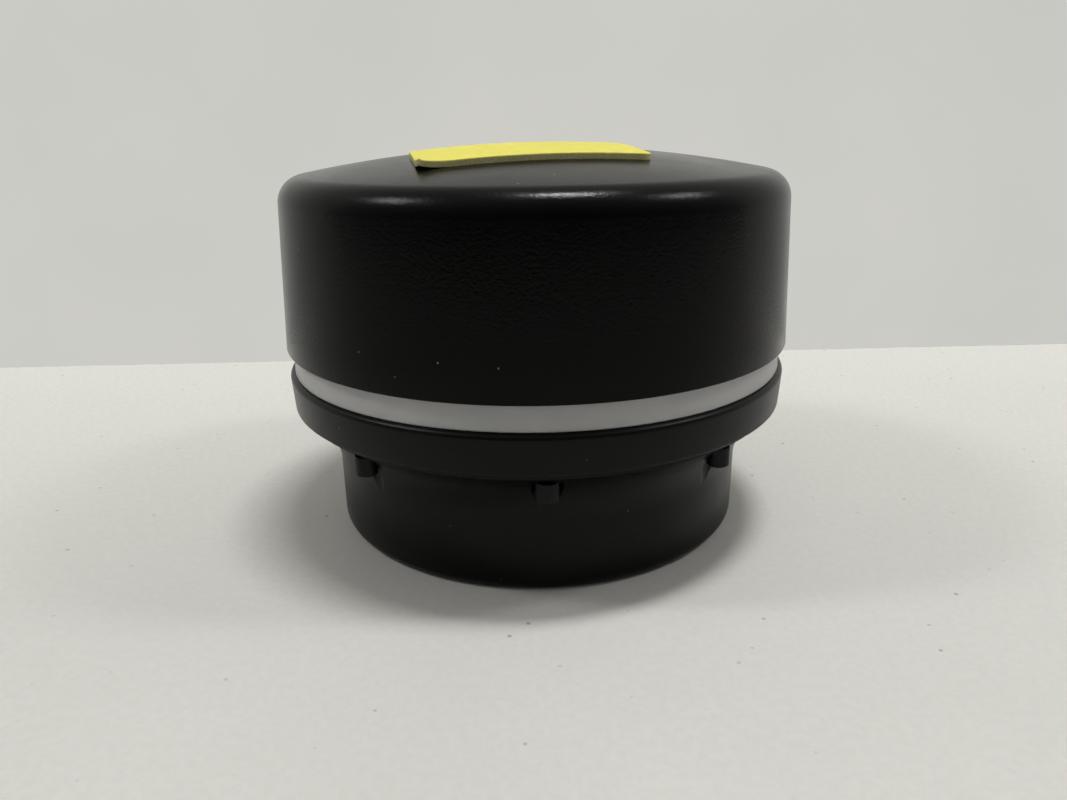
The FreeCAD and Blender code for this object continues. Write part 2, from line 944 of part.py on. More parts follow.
y_carriage = new_body("y_carriage")
slab(y_carriage, "YSlab", D.yCarriageSide, D.yCarriageSide, D.yOpeningSide, D.yOpeningSide)
cross_bores(
    y_carriage, "YRodBores", y_rod_points, D.yRodRadius + D.slidePlay,
    D.yCarriageSide + 2, -D.yCarriageSide / 2 - 1, "XZ_Plane",
)
board_screw_points = [
    (as_size(x), as_size(y)) for x, y in ((10.5, 12.2), (-10.5, 12.2), (-10.5, -12.2), (10.5, -12.2))
]
extruded(
    y_carriage,
    "BoardThreads",
    lambda s: circles(s, board_screw_points, 0.5 + D.screwPlay),
    stage_top,
    2.0,
    cut=True,
    down=True,
)

x_face = -D.xCarriageLength / 2 - D.shiftPlay
x_piezo_start = -D.frameOpening / 2 - 6.0
x_piezo_length = x_face - x_piezo_start
node(
    block("x_piezo", x_piezo_start + x_piezo_length / 2, 0.0, shift_axis - 1.5, x_piezo_length, 3.0, 3.0),
    "x_piezo",
)
y_face = -D.yCarriageSide / 2 - D.shiftPlay
y_piezo_start = -D.xOpeningWidth / 2 - 4.0
y_piezo_length = y_face - y_piezo_start
node(
    block("y_piezo", 0.0, y_piezo_start + y_piezo_length / 2, piezo_shelf, 3.0, y_piezo_length, 1.9),
    "y_piezo",
)


def plunger(name, axis, face, wall, outer, height, radius, tip):
    """A spring plunger: a body in the wall and a thinner tip that reaches towards the face."""
    if axis == "X":
        barrel_part = rod(name + "Body", "X", wall, 0.0, height, radius, outer - wall)
        tip_part = rod(name + "Tip", "X", face, 0.0, height, tip, outer - face)
    else:
        barrel_part = rod(name + "Body", "Y", 0.0, wall, height, radius, outer - wall)
        tip_part = rod(name + "Tip", "Y", 0.0, face, height, tip, outer - face)
    return node(union(name, [barrel_part, tip_part]), name)


plunger(
    "x_preload_plunger", "X", D.xCarriageLength / 2 + 2 * D.shiftPlay,
    D.frameOpening / 2 + 0.3, D.frameSide / 2 - 0.2, shift_axis, 1.5, 0.7,
)
plunger(
    "y_preload_plunger", "Y", D.yCarriageSide / 2 + 2 * D.shiftPlay,
    D.xOpeningWidth / 2 + 0.3, D.xCarriageWidth / 2 - 0.2, rod_height_y, 0.8, 0.4,
)

# ---------------------------------------------------------------- sensor and its board

package = new_body("sensor_package")
package_base = stage_top - D.packageDepth
extruded(
    package,
    "PackageBlock",
    lambda s: rectangle(s, as_size(0), as_size(0), D.packageSide, D.packageSide),
    package_base,
    D.packageDepth,
)
extruded(
    package,
    "PackageCavity",
    lambda s: rectangle(s, as_size(0), as_size(0), 14.0, 10.0),
    package_base,
    D.cavityDepth,
    cut=True,
)
node(
    block("sensor_die", 0, 0, D.sensorPlane, D.dieLength, D.dieWidth, cavity_ceiling - D.sensorPlane),
    "sensor_die",
)
node(
    block("sensor_lid", 0, 0, package_base - D.lidDepth, 16.0, 12.0, D.lidDepth),
    "sensor_lid",
)

sensor_board = new_body("sensor_board")
extruded(
    sensor_board,
    "SensorBoardPlate",
    lambda s: rectangle(s, as_size(0), as_size(0), D.yCarriageSide - 1, D.yCarriageSide - 1),
    stage_top,
    D.boardThickness,
)
extruded(
    sensor_board,
    "FingerOpening",
    lambda s: rectangle(s, as_size(0), as_size(0), D.fingerSide + 1, D.fingerSide + 1),
    stage_top,
    D.boardThickness,
    cut=True,
)
extruded(
    sensor_board,
    "SensorBoardHoles",
    lambda s: circles(s, board_screw_points, 0.5 + D.screwPlay),
    stage_top,
    D.boardThickness,
    cut=True,
)
board_face = stage_top + D.boardThickness
fasteners(
    "sensor_board_screws", board_screw_points, board_face, 1.0, 0.7, 0.5,
    D.boardThickness + 1.8, 0.45, up=False,
)
node(block("sensor_connector", 0, 11.8, board_face, 16.0, 2.4, 1.2), "sensor_connector")

# ---------------------------------------------------------------- cooling stack

cold_plate = new_body("cold_plate")
extruded(
    cold_plate,
    "ColdFinger",
    lambda s: rectangle(s, as_size(0), as_size(0), D.fingerSide, D.fingerSide),
    stage_top,
    cold_head - stage_top,
)
extruded(
    cold_plate,
    "ColdHead",
    lambda s: rectangle(s, as_size(0), as_size(0), D.coldPlateSide, D.coldPlateSide),
    cold_head,
    D.coldPlateDepth,
)
node(
    block("temperature_sensor", 4.0, -D.coldPlateSide / 2 - 0.5, board_face, 2.0, 1.0, 0.9),
    "temperature_sensor",
)
node(
    block("cooler_cold_side", 0, 0, cooler_base, D.coolerSide, D.coolerSide, D.coolerPlate),
    "cooler_cold_side",
)
pellets = new_body("cooler_pellets")
PELLETS_PER_SIDE = 6


def draw_pellets(sketch):
    pitch = (D.coolerSide - 1.0) / PELLETS_PER_SIDE
    for column in range(PELLETS_PER_SIDE):
        for line in range(PELLETS_PER_SIDE):
            x = pitch * (column - (PELLETS_PER_SIDE - 1) / 2)
            y = pitch * (line - (PELLETS_PER_SIDE - 1) / 2)
            rectangle(sketch, x, y, 1.5, 1.5)


extruded(pellets, "PelletArray", draw_pellets, cooler_base + D.coolerPlate, D.coolerGap)
node(
    block(
        "cooler_hot_side", 0, 0, cooler_top - D.coolerPlate, D.coolerSide, D.coolerSide, D.coolerPlate
    ),
    "cooler_hot_side",
)

# ---------------------------------------------------------------- flat cable to the lower board

cable_height = board_face + 0.6
cable_run = as_size(18.0)
cable_bend = as_size(2.0)
cable_end = lower_board - 1.6
cable = new_body("sensor_flat_cable")


def draw_cable(sketch):
    half = 0.1
    start = as_size(13.15)
    bend_centre = (cable_run - cable_bend, cable_height + cable_bend)
    outline(
        sketch,
        [
            (start, cable_height - half),
            (cable_run - cable_bend, cable_height - half),
            (cable_run + half, cable_height + cable_bend),
            (cable_run + half, cable_end),
            (cable_run - half, cable_end),
            (cable_run - half, cable_height + cable_bend),
            (cable_run - cable_bend, cable_height + half),
            (start, cable_height + half),
        ],
        {1: (bend_centre, "left"), 5: (bend_centre, "right")},
    )


extruded(cable, "CableStrip", draw_cable, -7.0, 14.0, plane="YZ_Plane")
node(block("cable_connector", 0, 18.0, cable_end, 16.0, 2.6, 1.6), "cable_connector")

# ---------------------------------------------------------------- circuit boards


def circuit(name, base, radius, hole_radius):
    body = new_body(name)
    extruded(
        body, name + "Disc", lambda s: circles(s, [(as_size(0), as_size(0))], radius), base,
        D.circuitThickness,
    )
    extruded(
        body, name + "Holes", lambda s: circles(s, standoff_points, hole_radius), base,
        D.circuitThickness, cut=True,
    )
    return body


standoffs("lower_standoffs", standoff_points, flange_deck, D.lowerStandoff, as_size(2.9), 1.3)
circuit("drive_board", lower_board, circuit_radius, 1.3)
extruded(
    doc.getObject("drive_board"),
    "SocketNotch",
    lambda s: rectangle(s, as_size(0), circuit_radius, 36.6, 12.0),
    lower_board,
    D.circuitThickness,
    cut=True,
)
deck = lower_board + D.circuitThickness
standoffs("upper_standoffs", standoff_points, deck, D.upperStandoff, as_size(2.9), 1.3)
circuit("main_board", upper_board, circuit_radius - 1, 1.3)
main_deck = upper_board + D.circuitThickness
board_screw_length = main_deck - flange_deck + 3.4
fasteners(
    "board_screws", standoff_points, main_deck, M2_5[1], M2_5[2], M2_5[0],
    board_screw_length, M2_5[3], up=False,
)

drive_parts = [
    block("PiezoDriver", -12.0, -4.0, deck, 9.0, 9.0, 1.6),
    block("CoolerDriver", 6.0, -10.0, deck, 12.0, 12.0, 5.0),
    block("DriveClock", 16.0, 6.0, deck, 5.0, 3.2, 1.2),
    block("DriveBuffer", -4.0, 10.0, deck, 12.0, 6.0, 1.2),
]
group("drive_chips", drive_parts)
capacitor_points = [(-22.0, -8.0), (-22.0, 2.0), (22.0, -8.0), (22.0, 2.0)]
capacitors = [
    rod("Capacitor%d" % k, "Z", x, y, deck, 3.15, 7.7) for k, (x, y) in enumerate(capacitor_points)
]
group("drive_capacitors", capacitors)
link_side = block("LinkPlug", 0, -26.0, deck, 24.0, 5.0, D.upperStandoff)
group("board_link", [link_side])

node(
    block("processor_chip", 0, -4.0, main_deck, D.processorSide, D.processorSide, D.processorDepth),
    "processor_chip",
)
sink = new_body("processor_heat_sink")
sink_base = main_deck + D.processorDepth
sink_side = D.processorSide + 2
FIN_COUNT = 7
extruded(
    sink,
    "SinkBase",
    lambda s: rectangle(s, as_size(0), as_size(-4), sink_side, sink_side),
    sink_base,
    1.6,
)


def draw_fins(sketch):
    pitch = (sink_side - 1.2) / (FIN_COUNT - 1)
    for number in range(FIN_COUNT):
        rectangle(sketch, pitch * (number - (FIN_COUNT - 1) / 2), as_size(-4), 1.2, sink_side)


extruded(sink, "SinkFins", draw_fins, sink_base + 1.6, 4.4)
memory_points = [(-20.5, -9.0), (-20.5, 3.0), (20.5, -9.0), (20.5, 3.0)]
group(
    "memory_chips",
    [block("Memory%d" % k, x, y, main_deck, 9.0, 10.0, 1.1) for k, (x, y) in enumerate(memory_points)],
)
group(
    "power_inductors",
    [block("Inductor%d" % k, x, 20.0, main_deck, 6.0, 6.0, 3.0) for k, x in enumerate((-10.0, 0.0, 10.0))],
)

# ---------------------------------------------------------------- rear socket

bracket = new_body("rear_bracket")
plate_middle = bracket_face - D.sheetThickness / 2
extruded(
    bracket,
    "BracketPlate",
    lambda s: rectangle(s, as_size(0), plate_middle, D.bracketWidth, D.sheetThickness),
    flange_deck,
    D.bracketHeight,
)
foot_depth = as_size(9.5)
extruded(
    bracket,
    "BracketFoot",
    lambda s: rectangle(s, as_size(0), bracket_face - foot_depth / 2, 32.0, foot_depth),
    flange_deck,
    D.sheetThickness,
)
extruded(
    bracket,
    "BracketFootHoles",
    lambda s: circles(s, bracket_points, M2[0] + D.screwPlay),
    flange_deck,
    D.sheetThickness,
    cut=True,
)
SHELL_WIDTH, SHELL_HEIGHT, SHELL_WALL = 25.0, 7.4, 0.8
jack_points = [(as_size(-16.0), D.socketMiddle), (as_size(16.0), D.socketMiddle)]
extruded(
    bracket,
    "BracketWindow",
    lambda s: rectangle(s, as_size(0), D.socketMiddle, SHELL_WIDTH + 0.4, SHELL_HEIGHT + 0.4),
    -bracket_face - 1,
    D.sheetThickness + 2,
    cut=True,
    plane="XZ_Plane",
)
extruded(
    bracket,
    "BracketJackHoles",
    lambda s: circles(s, jack_points, 1.3),
    -bracket_face - 1,
    D.sheetThickness + 2,
    cut=True,
    plane="XZ_Plane",
)
fasteners(
    "bracket_screws", bracket_points, flange_deck + D.sheetThickness, M2[1], M2[2], M2[0],
    D.sheetThickness + 4.4, M2[3], up=False,
)

socket = new_body("data_socket")
housing_back = bracket_face - D.sheetThickness - 11.0
extruded(
    socket,
    "SocketHousing",
    lambda s: rectangle(s, as_size(0), bracket_face - D.sheetThickness - 5.5, 36.0, 11.0),
    deck,
    10.0,
)
extruded(
    socket,
    "SocketShell",
    lambda s: rectangle(s, as_size(0), D.socketMiddle, SHELL_WIDTH, SHELL_HEIGHT),
    -bracket_face - 2.2,
    D.sheetThickness + 2.2,
    plane="XZ_Plane",
)
extruded(
    socket,
    "SocketMouth",
    lambda s: rectangle(
        s, as_size(0), D.socketMiddle, SHELL_WIDTH - 2 * SHELL_WALL, SHELL_HEIGHT - 2 * SHELL_WALL
    ),
    -bracket_face - 2.2,
    8.0,
    cut=True,
    plane="XZ_Plane",
)
extruded(
    socket,
    "SocketTongue",
    lambda s: rectangle(s, as_size(0), D.socketMiddle, 20.0, 1.8),
    -bracket_face - 0.6,
    6.6,
    plane="XZ_Plane",
)
jacks = new_body("jack_posts")
extruded(
    jacks,
    "JackHexes",
    lambda s: hexagons(s, jack_points, 2.6),
    -bracket_face - 4.0,
    4.0,
    plane="XZ_Plane",
)
extruded(
    jacks,
    "JackShanks",
    lambda s: circles(s, jack_points, 1.2),
    -bracket_face,
    D.sheetThickness,
    plane="XZ_Plane",
)
extruded(
    jacks,
    "JackThreads",
    lambda s: circles(s, jack_points, 1.1),
    -bracket_face - 4.0,
    3.6,
    cut=True,
    plane="XZ_Plane",
)

# ---------------------------------------------------------------- asset tag on the dome

dome_radius = (edge_radius * edge_radius + D.domeRise * D.domeRise) / (2 * D.domeRise)
dome_level = cover_top - dome_radius
TAG_X, TAG_Y, TAG_TURN = -1.74, -16.3, 9.66
tag_prism = doc.addObject("Part::Box", "TagOutline")
for prop, amount in (("Length", D.tagLength), ("Width", D.tagWidth)):
    bind(tag_prism, prop, amount)
tag_prism.Height = 10.0
turn = math.radians(TAG_TURN)
tag_prism.Placement = FreeCAD.Placement(
    FreeCAD.Vector(), FreeCAD.Rotation(FreeCAD.Vector(0, 0, 1), TAG_TURN)
)
half_length, half_width = D.tagLength / 2, D.tagWidth / 2
bind(tag_prism, "Placement.Base.x", TAG_X - half_length * math.cos(turn) + half_width * math.sin(turn))
bind(tag_prism, "Placement.Base.y", TAG_Y - half_length * math.sin(turn) - half_width * math.cos(turn))
bind(tag_prism, "Placement.Base.z", cover_top - 5.0)
tag_top = doc.addObject("Part::Sphere", "TagTopSurface")
bind(tag_top, "Radius", dome_radius + D.tagDepth)
bind(tag_top, "Placement.Base.z", dome_level)
tag_under = doc.addObject("Part::Sphere", "TagUnderSurface")
bind(tag_under, "Radius", dome_radius)
bind(tag_under, "Placement.Base.z", dome_level)
tag_slice = doc.addObject("Part::Common", "TagSlice")
tag_slice.Base = tag_prism
tag_slice.Tool = tag_top
node(minus("asset_tag", tag_slice, [tag_under]), "asset_tag")

# ---------------------------------------------------------------- checks and export

doc.recompute()
problems = []
for obj in doc.Objects:
    if "Invalid" in obj.State or "Error" in obj.State:
        problems.append("%s is %s" % (obj.Label, obj.State))
for name, obj in nodes:
    if obj.Shape.isNull() or not obj.Shape.isValid():
        problems.append("%s has no valid shape" % name)
if problems:
    raise RuntimeError("; ".join(problems))
for name, obj in nodes:
    obj.Shape.exportStep("parts/%s.step" % name)
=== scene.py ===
import json
import math

import bmesh
import bpy
from mathutils import Matrix, Vector


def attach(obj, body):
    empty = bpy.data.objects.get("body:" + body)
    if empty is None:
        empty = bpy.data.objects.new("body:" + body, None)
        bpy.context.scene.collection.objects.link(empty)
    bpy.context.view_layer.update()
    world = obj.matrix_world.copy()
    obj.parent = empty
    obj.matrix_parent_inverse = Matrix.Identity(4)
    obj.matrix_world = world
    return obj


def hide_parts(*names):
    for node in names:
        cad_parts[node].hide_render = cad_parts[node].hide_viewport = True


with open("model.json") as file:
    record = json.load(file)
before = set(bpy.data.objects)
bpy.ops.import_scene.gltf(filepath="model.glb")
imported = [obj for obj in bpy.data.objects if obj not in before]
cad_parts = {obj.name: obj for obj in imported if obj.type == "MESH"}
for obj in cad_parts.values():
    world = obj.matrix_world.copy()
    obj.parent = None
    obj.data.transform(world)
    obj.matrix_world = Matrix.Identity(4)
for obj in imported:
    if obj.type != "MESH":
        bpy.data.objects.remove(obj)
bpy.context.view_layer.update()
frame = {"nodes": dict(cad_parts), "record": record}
MM = 0.001
WELD = 0.002  # vertices closer than this are merged after a cut
HOUSING = "housing"

# ---------------------------------------------------------------- sizes in millimetres, as in the CAD
BARREL_R, BARREL_BORE, BARREL_FLOOR = 40.0, 36.0, 7.0
FOOT_R, COVE_Z, COVE_R = 1.8, 12.5, 13.0
RIM_Z, RIM_R, PORT_R = 23.2, 46.0, 12.0
FLANGE_Z, FLANGE_TOP, FLANGE_R, FLANGE_TOP_R, LIP_R = 24.35, 31.2, 47.5, 47.9, 1.0
SPIGOT_R, SPIGOT_Z, DECK_Z, REGISTER_R = 35.9, 22.35, 32.2, 44.3
GROOVE_R, GROOVE_LOW, GROOVE_HIGH = 34.8, 22.7, 23.9
COOLER_POCKET, COOLER_POCKET_TOP = 21.4, 25.0
CABLE_SLOT_Y, CABLE_SLOT_WIDTH, CABLE_SLOT_DEPTH = 18.0, 18.0, 3.0
RING_TOP, RING_FOOT_R, RING_R = 35.7, 46.95, 46.6
RING_BORE_R, RING_LEDGE_R, RING_LEDGE_RISE = 44.4, 45.7, 2.0
COVER_R, COVER_EDGE_Z, DRAFT, CROWN_R = 48.0, 65.5, 0.048, 4.85
DOME_RISE, WALL = 4.86, 2.0
EDGE_R = COVER_R - DRAFT * (COVER_EDGE_Z - RING_TOP)
COVER_TOP = COVER_EDGE_Z + DOME_RISE
MOUNT_R, MOUNT_DEPTH, THREAD_R = 23.0, 5.0, 12.3
MOUNT_PLAY, MOUNT_CHAMFER, THREAD_DEPTH, PITCH = 0.05, 0.25, 0.35, 25.4 / 32
MOUNT_SCREW_CIRCLE, MOUNT_SCREW_ANGLES, MOUNT_SCREW_SEAT = 17.8, (30, 150, 270), 2.4
SCREW_COUNT, SCREW_CIRCLE, SCREW_SEAT, COUNTERBORE_R, SCREW_HOLE_R = 8, 42.7, 21.6, 2.65, 1.05
SCREW_THREAD_TOP, COUNTERBORE_START = 28.95, 9.0
# head radius, head height, socket radius, shank radius, shank length
BARREL_SCREW = (1.9, 3.6, 0.85, 1.0, 7.2)
MOUNT_SCREW = (1.9, 2.0, 0.85, 1.0, 4.2)
POST_ANGLES, POST_CIRCLE, POST_R, POST_BORE_R, POST_TOP = (22.5, 157.5, 247.5, 292.5), 40.5, 3.2, 1.55, 63.7
POST_SCREW_SEAT_R, POST_SCREW_SEAT_TOP = 3.0, 27.45
WINDOW_WIDTH, WINDOW_LOW, WINDOW_HIGH, WINDOW_CORNER_R = 38.6, 38.5, 53.5, 1.6
SOCKET_MIDDLE, SOCKET_MOUTH, SOCKET_TONGUE, CONTACT_PITCH = 45.6, (11.35, 3.15), (9.7, 0.95), 0.8
TAG_X, TAG_Y, TAG_TURN = -1.74, -16.3, 9.66
TAG_LENGTH, TAG_WIDTH, TAG_DEPTH, TAG_CORNER_R = 38.1, 19.0, 1.0, 1.6
CUT_PAST = 1.0


# ---------------------------------------------------------------- node helpers
def lin(value):
    """An sRGB value from 0 to 255 as linear light."""
    c = value / 255.0
    return c / 12.92 if c <= 0.04045 else ((c + 0.055) / 1.055) ** 2.4


def srgb(r, g, b):
    return (lin(r), lin(g), lin(b), 1.0)


class Nodes:
    """Short names for building one material's node tree."""

    def __init__(self, name):
        self.mat = bpy.data.materials.new(name)
        self.mat.use_nodes = True
        self.tree = self.mat.node_tree
        self.bsdf = self.tree.nodes["Principled BSDF"]
        self.coords = self.add("ShaderNodeTexCoord").outputs["Object"]

    def add(self, kind, **props):
        node = self.tree.nodes.new(kind)
        for key, value in props.items():
            setattr(node, key, value)
        return node

    def link(self, a, b):
        self.tree.links.new(a, b)

    def noise(self, scale, detail=3.0, rough=0.55, vector=None):
        n = self.add("ShaderNodeTexNoise")
        n.inputs["Scale"].default_value = scale
        n.inputs["Detail"].default_value = detail
        n.inputs["Roughness"].default_value = rough
        self.link(vector or self.coords, n.inputs["Vector"])
        return n.outputs["Fac"]

    def voronoi(self, scale, feature="F1", vector=None):
        n = self.add("ShaderNodeTexVoronoi", feature=feature)
        n.inputs["Scale"].default_value = scale
        self.link(vector or self.coords, n.inputs["Vector"])
        return n.outputs["Distance"]

    def ramp(self, fac, low, high, a, b):
        """Maps fac from low..high to a..b, clamped."""
        n = self.add("ShaderNodeMapRange")
        for key, value in (("From Min", low), ("From Max", high), ("To Min", a), ("To Max", b)):
            n.inputs[key].default_value = value
        self.link(fac, n.inputs["Value"])
        return n.outputs["Result"]

    def math(self, operation, a, b=None):
        n = self.add("ShaderNodeMath", operation=operation)
        for socket, value in ((0, a), (1, b)):
            if value is None:
                continue
            if isinstance(value, (int, float)):
                n.inputs[socket].default_value = value
            else:
                self.link(value, n.inputs[socket])
        return n.outputs[0]

    def mix(self, fac, a, b):
        n = self.add("ShaderNodeMix", data_type="RGBA")
        for socket, value in ((0, fac), (6, a), (7, b)):
            if isinstance(value, (int, float)):
                n.inputs[socket].default_value = value
            elif isinstance(value, tuple):
                n.inputs[socket].default_value = value
            else:
                self.link(value, n.inputs[socket])
        return n.outputs[2]

    def bump(self, height, strength, distance, normal=None):
        n = self.add("ShaderNodeBump")
        n.inputs["Strength"].default_value = strength
        n.inputs["Distance"].default_value = distance
        self.link(height, n.inputs["Height"])
        if normal is not None:
            self.link(normal, n.inputs["Normal"])
        return n.outputs["Normal"]

    def set(self, **values):
        for key, value in values.items():
            socket = self.bsdf.inputs[key.replace("_", " ")]
            if hasattr(value, "is_linked"):
                self.link(value, socket)
            else:
                socket.default_value = value
        return self


def edge_worn(m, base, bare, amount):
    """Mixes base towards bare where the surface is convex."""
    point = m.add("ShaderNodeNewGeometry").outputs["Pointiness"]
    grain = m.noise(900.0, 2.0)
    worn = m.ramp(point, 0.52, 0.60, 0.0, amount)
    return m.mix(m.math("MULTIPLY", worn, m.ramp(grain, 0.45, 0.6, 0.0, 1.0)), base, bare)


def painted(name, dark, light, rough, grain_size, grain_depth, ior=1.18, bare=None, dust=0.0):
    """Fine-textured paint: pebbled bump, faint tone changes, a little wear on the edges and some dust."""
    m = Nodes(name)
    fine = m.noise(1.0 / (grain_size * MM), 2.0, 0.6)
    broad = m.noise(60.0, 4.0, 0.6)
    tone = m.mix(m.ramp(broad, 0.35, 0.65, 0.0, 1.0), dark, light)
    tone = edge_worn(m, tone, bare or light, 0.35)
    if dust:
        motes = m.ramp(m.voronoi(330.0), 0.035, 0.06, dust, 0.0)
        chance = m.ramp(m.noise(140.0, 1.0), 0.56, 0.6, 0.0, 1.0)
        tone = m.mix(m.math("MULTIPLY", motes, chance), tone, srgb(150, 148, 140))
    m.set(Base_Color=tone, Roughness=m.ramp(broad, 0.3, 0.7, rough - 0.04, rough + 0.05))
    m.set(IOR=ior)
    m.set(Normal=m.bump(fine, 0.75, grain_depth * MM))
    return m


def metal(name, colour, rough, brush=(1.0, 1.0, 1.0), scale=900.0, dark=0.75):
    """Bare or plated metal with fine machining marks. brush stretches them."""
    m = Nodes(name)
    mapping = m.add("ShaderNodeMapping")
    mapping.inputs["Scale"].default_value = brush
    m.link(m.coords, mapping.inputs["Vector"])
    marks = m.noise(scale, 4.0, 0.6, mapping.outputs["Vector"])
    shade = tuple(c * dark for c in colour[:3]) + (1.0,)
    m.set(Base_Color=m.mix(m.ramp(marks, 0.3, 0.7, 0.0, 1.0), shade, colour))
    m.set(Roughness=m.ramp(marks, 0.3, 0.7, rough - 0.06, rough + 0.08), Metallic=1.0)
    m.set(Normal=m.bump(marks, 0.15, 0.02 * MM))
    return m


def moulded(name, colour, rough, scale=1500.0, depth=0.02, shade=0.7, specular=0.5):
    """Plastic, ceramic, rubber or resin with a fine moulded grain."""
    m = Nodes(name)
    grain = m.noise(scale, 3.0)
    blotch = m.noise(150.0, 3.0)
    darker = tuple(c * shade for c in colour[:3]) + (1.0,)
    m.set(Base_Color=m.mix(m.ramp(blotch, 0.3, 0.7, 0.0, 1.0), darker, colour))
    m.set(Roughness=m.ramp(grain, 0.3, 0.7, rough - 0.06, rough + 0.06))
    m.set(Specular_IOR_Level=specular)
    m.set(Normal=m.bump(grain, 0.3, depth * MM))
    return m


def circuit_material():
    """Solder mask over copper tracks."""
    m = Nodes("circuit_green")
    brick = m.add("ShaderNodeTexBrick")
    brick.inputs["Scale"].default_value = 260.0
    brick.inputs["Mortar Size"].default_value = 0.09
    m.link(m.coords, brick.inputs["Vector"])
    tracks = m.ramp(m.noise(240.0, 1.0), 0.47, 0.53, 0.0, 1.0)
    lines = m.math("MULTIPLY", brick.outputs["Fac"], tracks)
    m.set(Base_Color=m.mix(lines, (0.006, 0.055, 0.022, 1.0), (0.018, 0.13, 0.055, 1.0)))
    m.set(Roughness=0.32)
    m.set(Normal=m.bump(lines, 0.3, 0.03 * MM))
    return m


def glass_material(name, tint):
    m = Nodes(name)
    smudge = m.noise(80.0, 4.0)
    m.set(Base_Color=tint, Transmission_Weight=1.0, IOR=1.5, Coat_Weight=0.2)
    m.set(Roughness=m.ramp(smudge, 0.4, 0.7, 0.0, 0.04))
    return m


def silicon_material():
    """A sensor die: fine pixel grid with a faint iridescent sheen."""
    m = Nodes("silicon")
    wave = m.add("ShaderNodeTexWave", bands_direction="X")
    wave.inputs["Scale"].default_value = 9000.0
    m.link(m.coords, wave.inputs["Vector"])
    cross = m.add("ShaderNodeTexWave", bands_direction="Y")
    cross.inputs["Scale"].default_value = 9000.0
    m.link(m.coords, cross.inputs["Vector"])
    grid = m.math("MULTIPLY", wave.outputs["Fac"], cross.outputs["Fac"])
    m.set(Base_Color=m.mix(grid, (0.02, 0.05, 0.05, 1.0), (0.10, 0.12, 0.16, 1.0)))
    m.set(Metallic=0.8, Roughness=0.18, Thin_Film_Thickness=420.0, Thin_Film_IOR=1.45)
    return m


def tag_material():
    """Plain yellow film."""
    m = Nodes("tag_yellow")
    speck = m.noise(500.0, 3.0)
    film = m.mix(m.ramp(speck, 0.3, 0.7, 0.0, 1.0), srgb(206, 196, 52), srgb(218, 208, 74))
    m.set(Base_Color=film, Roughness=0.42)
    m.set(Normal=m.bump(speck, 0.15, 0.02 * MM))
    return m


def foam_material():
    """The pale foam pad under the film."""
    m = Nodes("tag_foam")
    cells = m.voronoi(4500.0)
    m.set(Base_Color=m.mix(m.ramp(cells, 0.1, 0.6, 0.0, 1.0), srgb(172, 162, 96), srgb(206, 200, 150)))
    m.set(Roughness=0.85)
    m.set(Normal=m.bump(cells, 0.5, 0.05 * MM))
    return m


def socket_material():
    """A plated shell around a dark plastic tongue with plated contacts along it."""
    m = metal("socket_shell", (0.50, 0.49, 0.47, 1.0), 0.3, (1.0, 1.0, 7.0))
    shell = m.bsdf.inputs["Base Color"].links[0].from_socket
    split = m.add("ShaderNodeSeparateXYZ")
    m.link(m.coords, split.inputs["Vector"])
    from_middle = m.math("ABSOLUTE", m.math("SUBTRACT", split.outputs["Z"], SOCKET_MIDDLE * MM))
    from_axis = m.math("ABSOLUTE", split.outputs["X"])

    def within(half_width, half_height):
        across = m.math("LESS_THAN", from_axis, half_width * MM)
        return m.math("MULTIPLY", m.math("LESS_THAN", from_middle, half_height * MM), across)

    plastic = within(*SOCKET_MOUTH)
    stripe = m.math("FRACT", m.math("MULTIPLY", split.outputs["X"], 1 / (CONTACT_PITCH * MM)))
    stripe = m.math("LESS_THAN", stripe, 0.45)
    near_skin = m.math("GREATER_THAN", from_middle, 0.7 * MM)
    contact = m.math("MULTIPLY", m.math("MULTIPLY", stripe, near_skin), within(*SOCKET_TONGUE))
    dark = m.mix(contact, (0.012, 0.012, 0.013, 1.0), (0.75, 0.55, 0.22, 1.0))
    m.set(Base_Color=m.mix(plastic, shell, dark))
    m.set(Metallic=m.math("MAXIMUM", m.math("SUBTRACT", 1.0, plastic), contact))
    return m


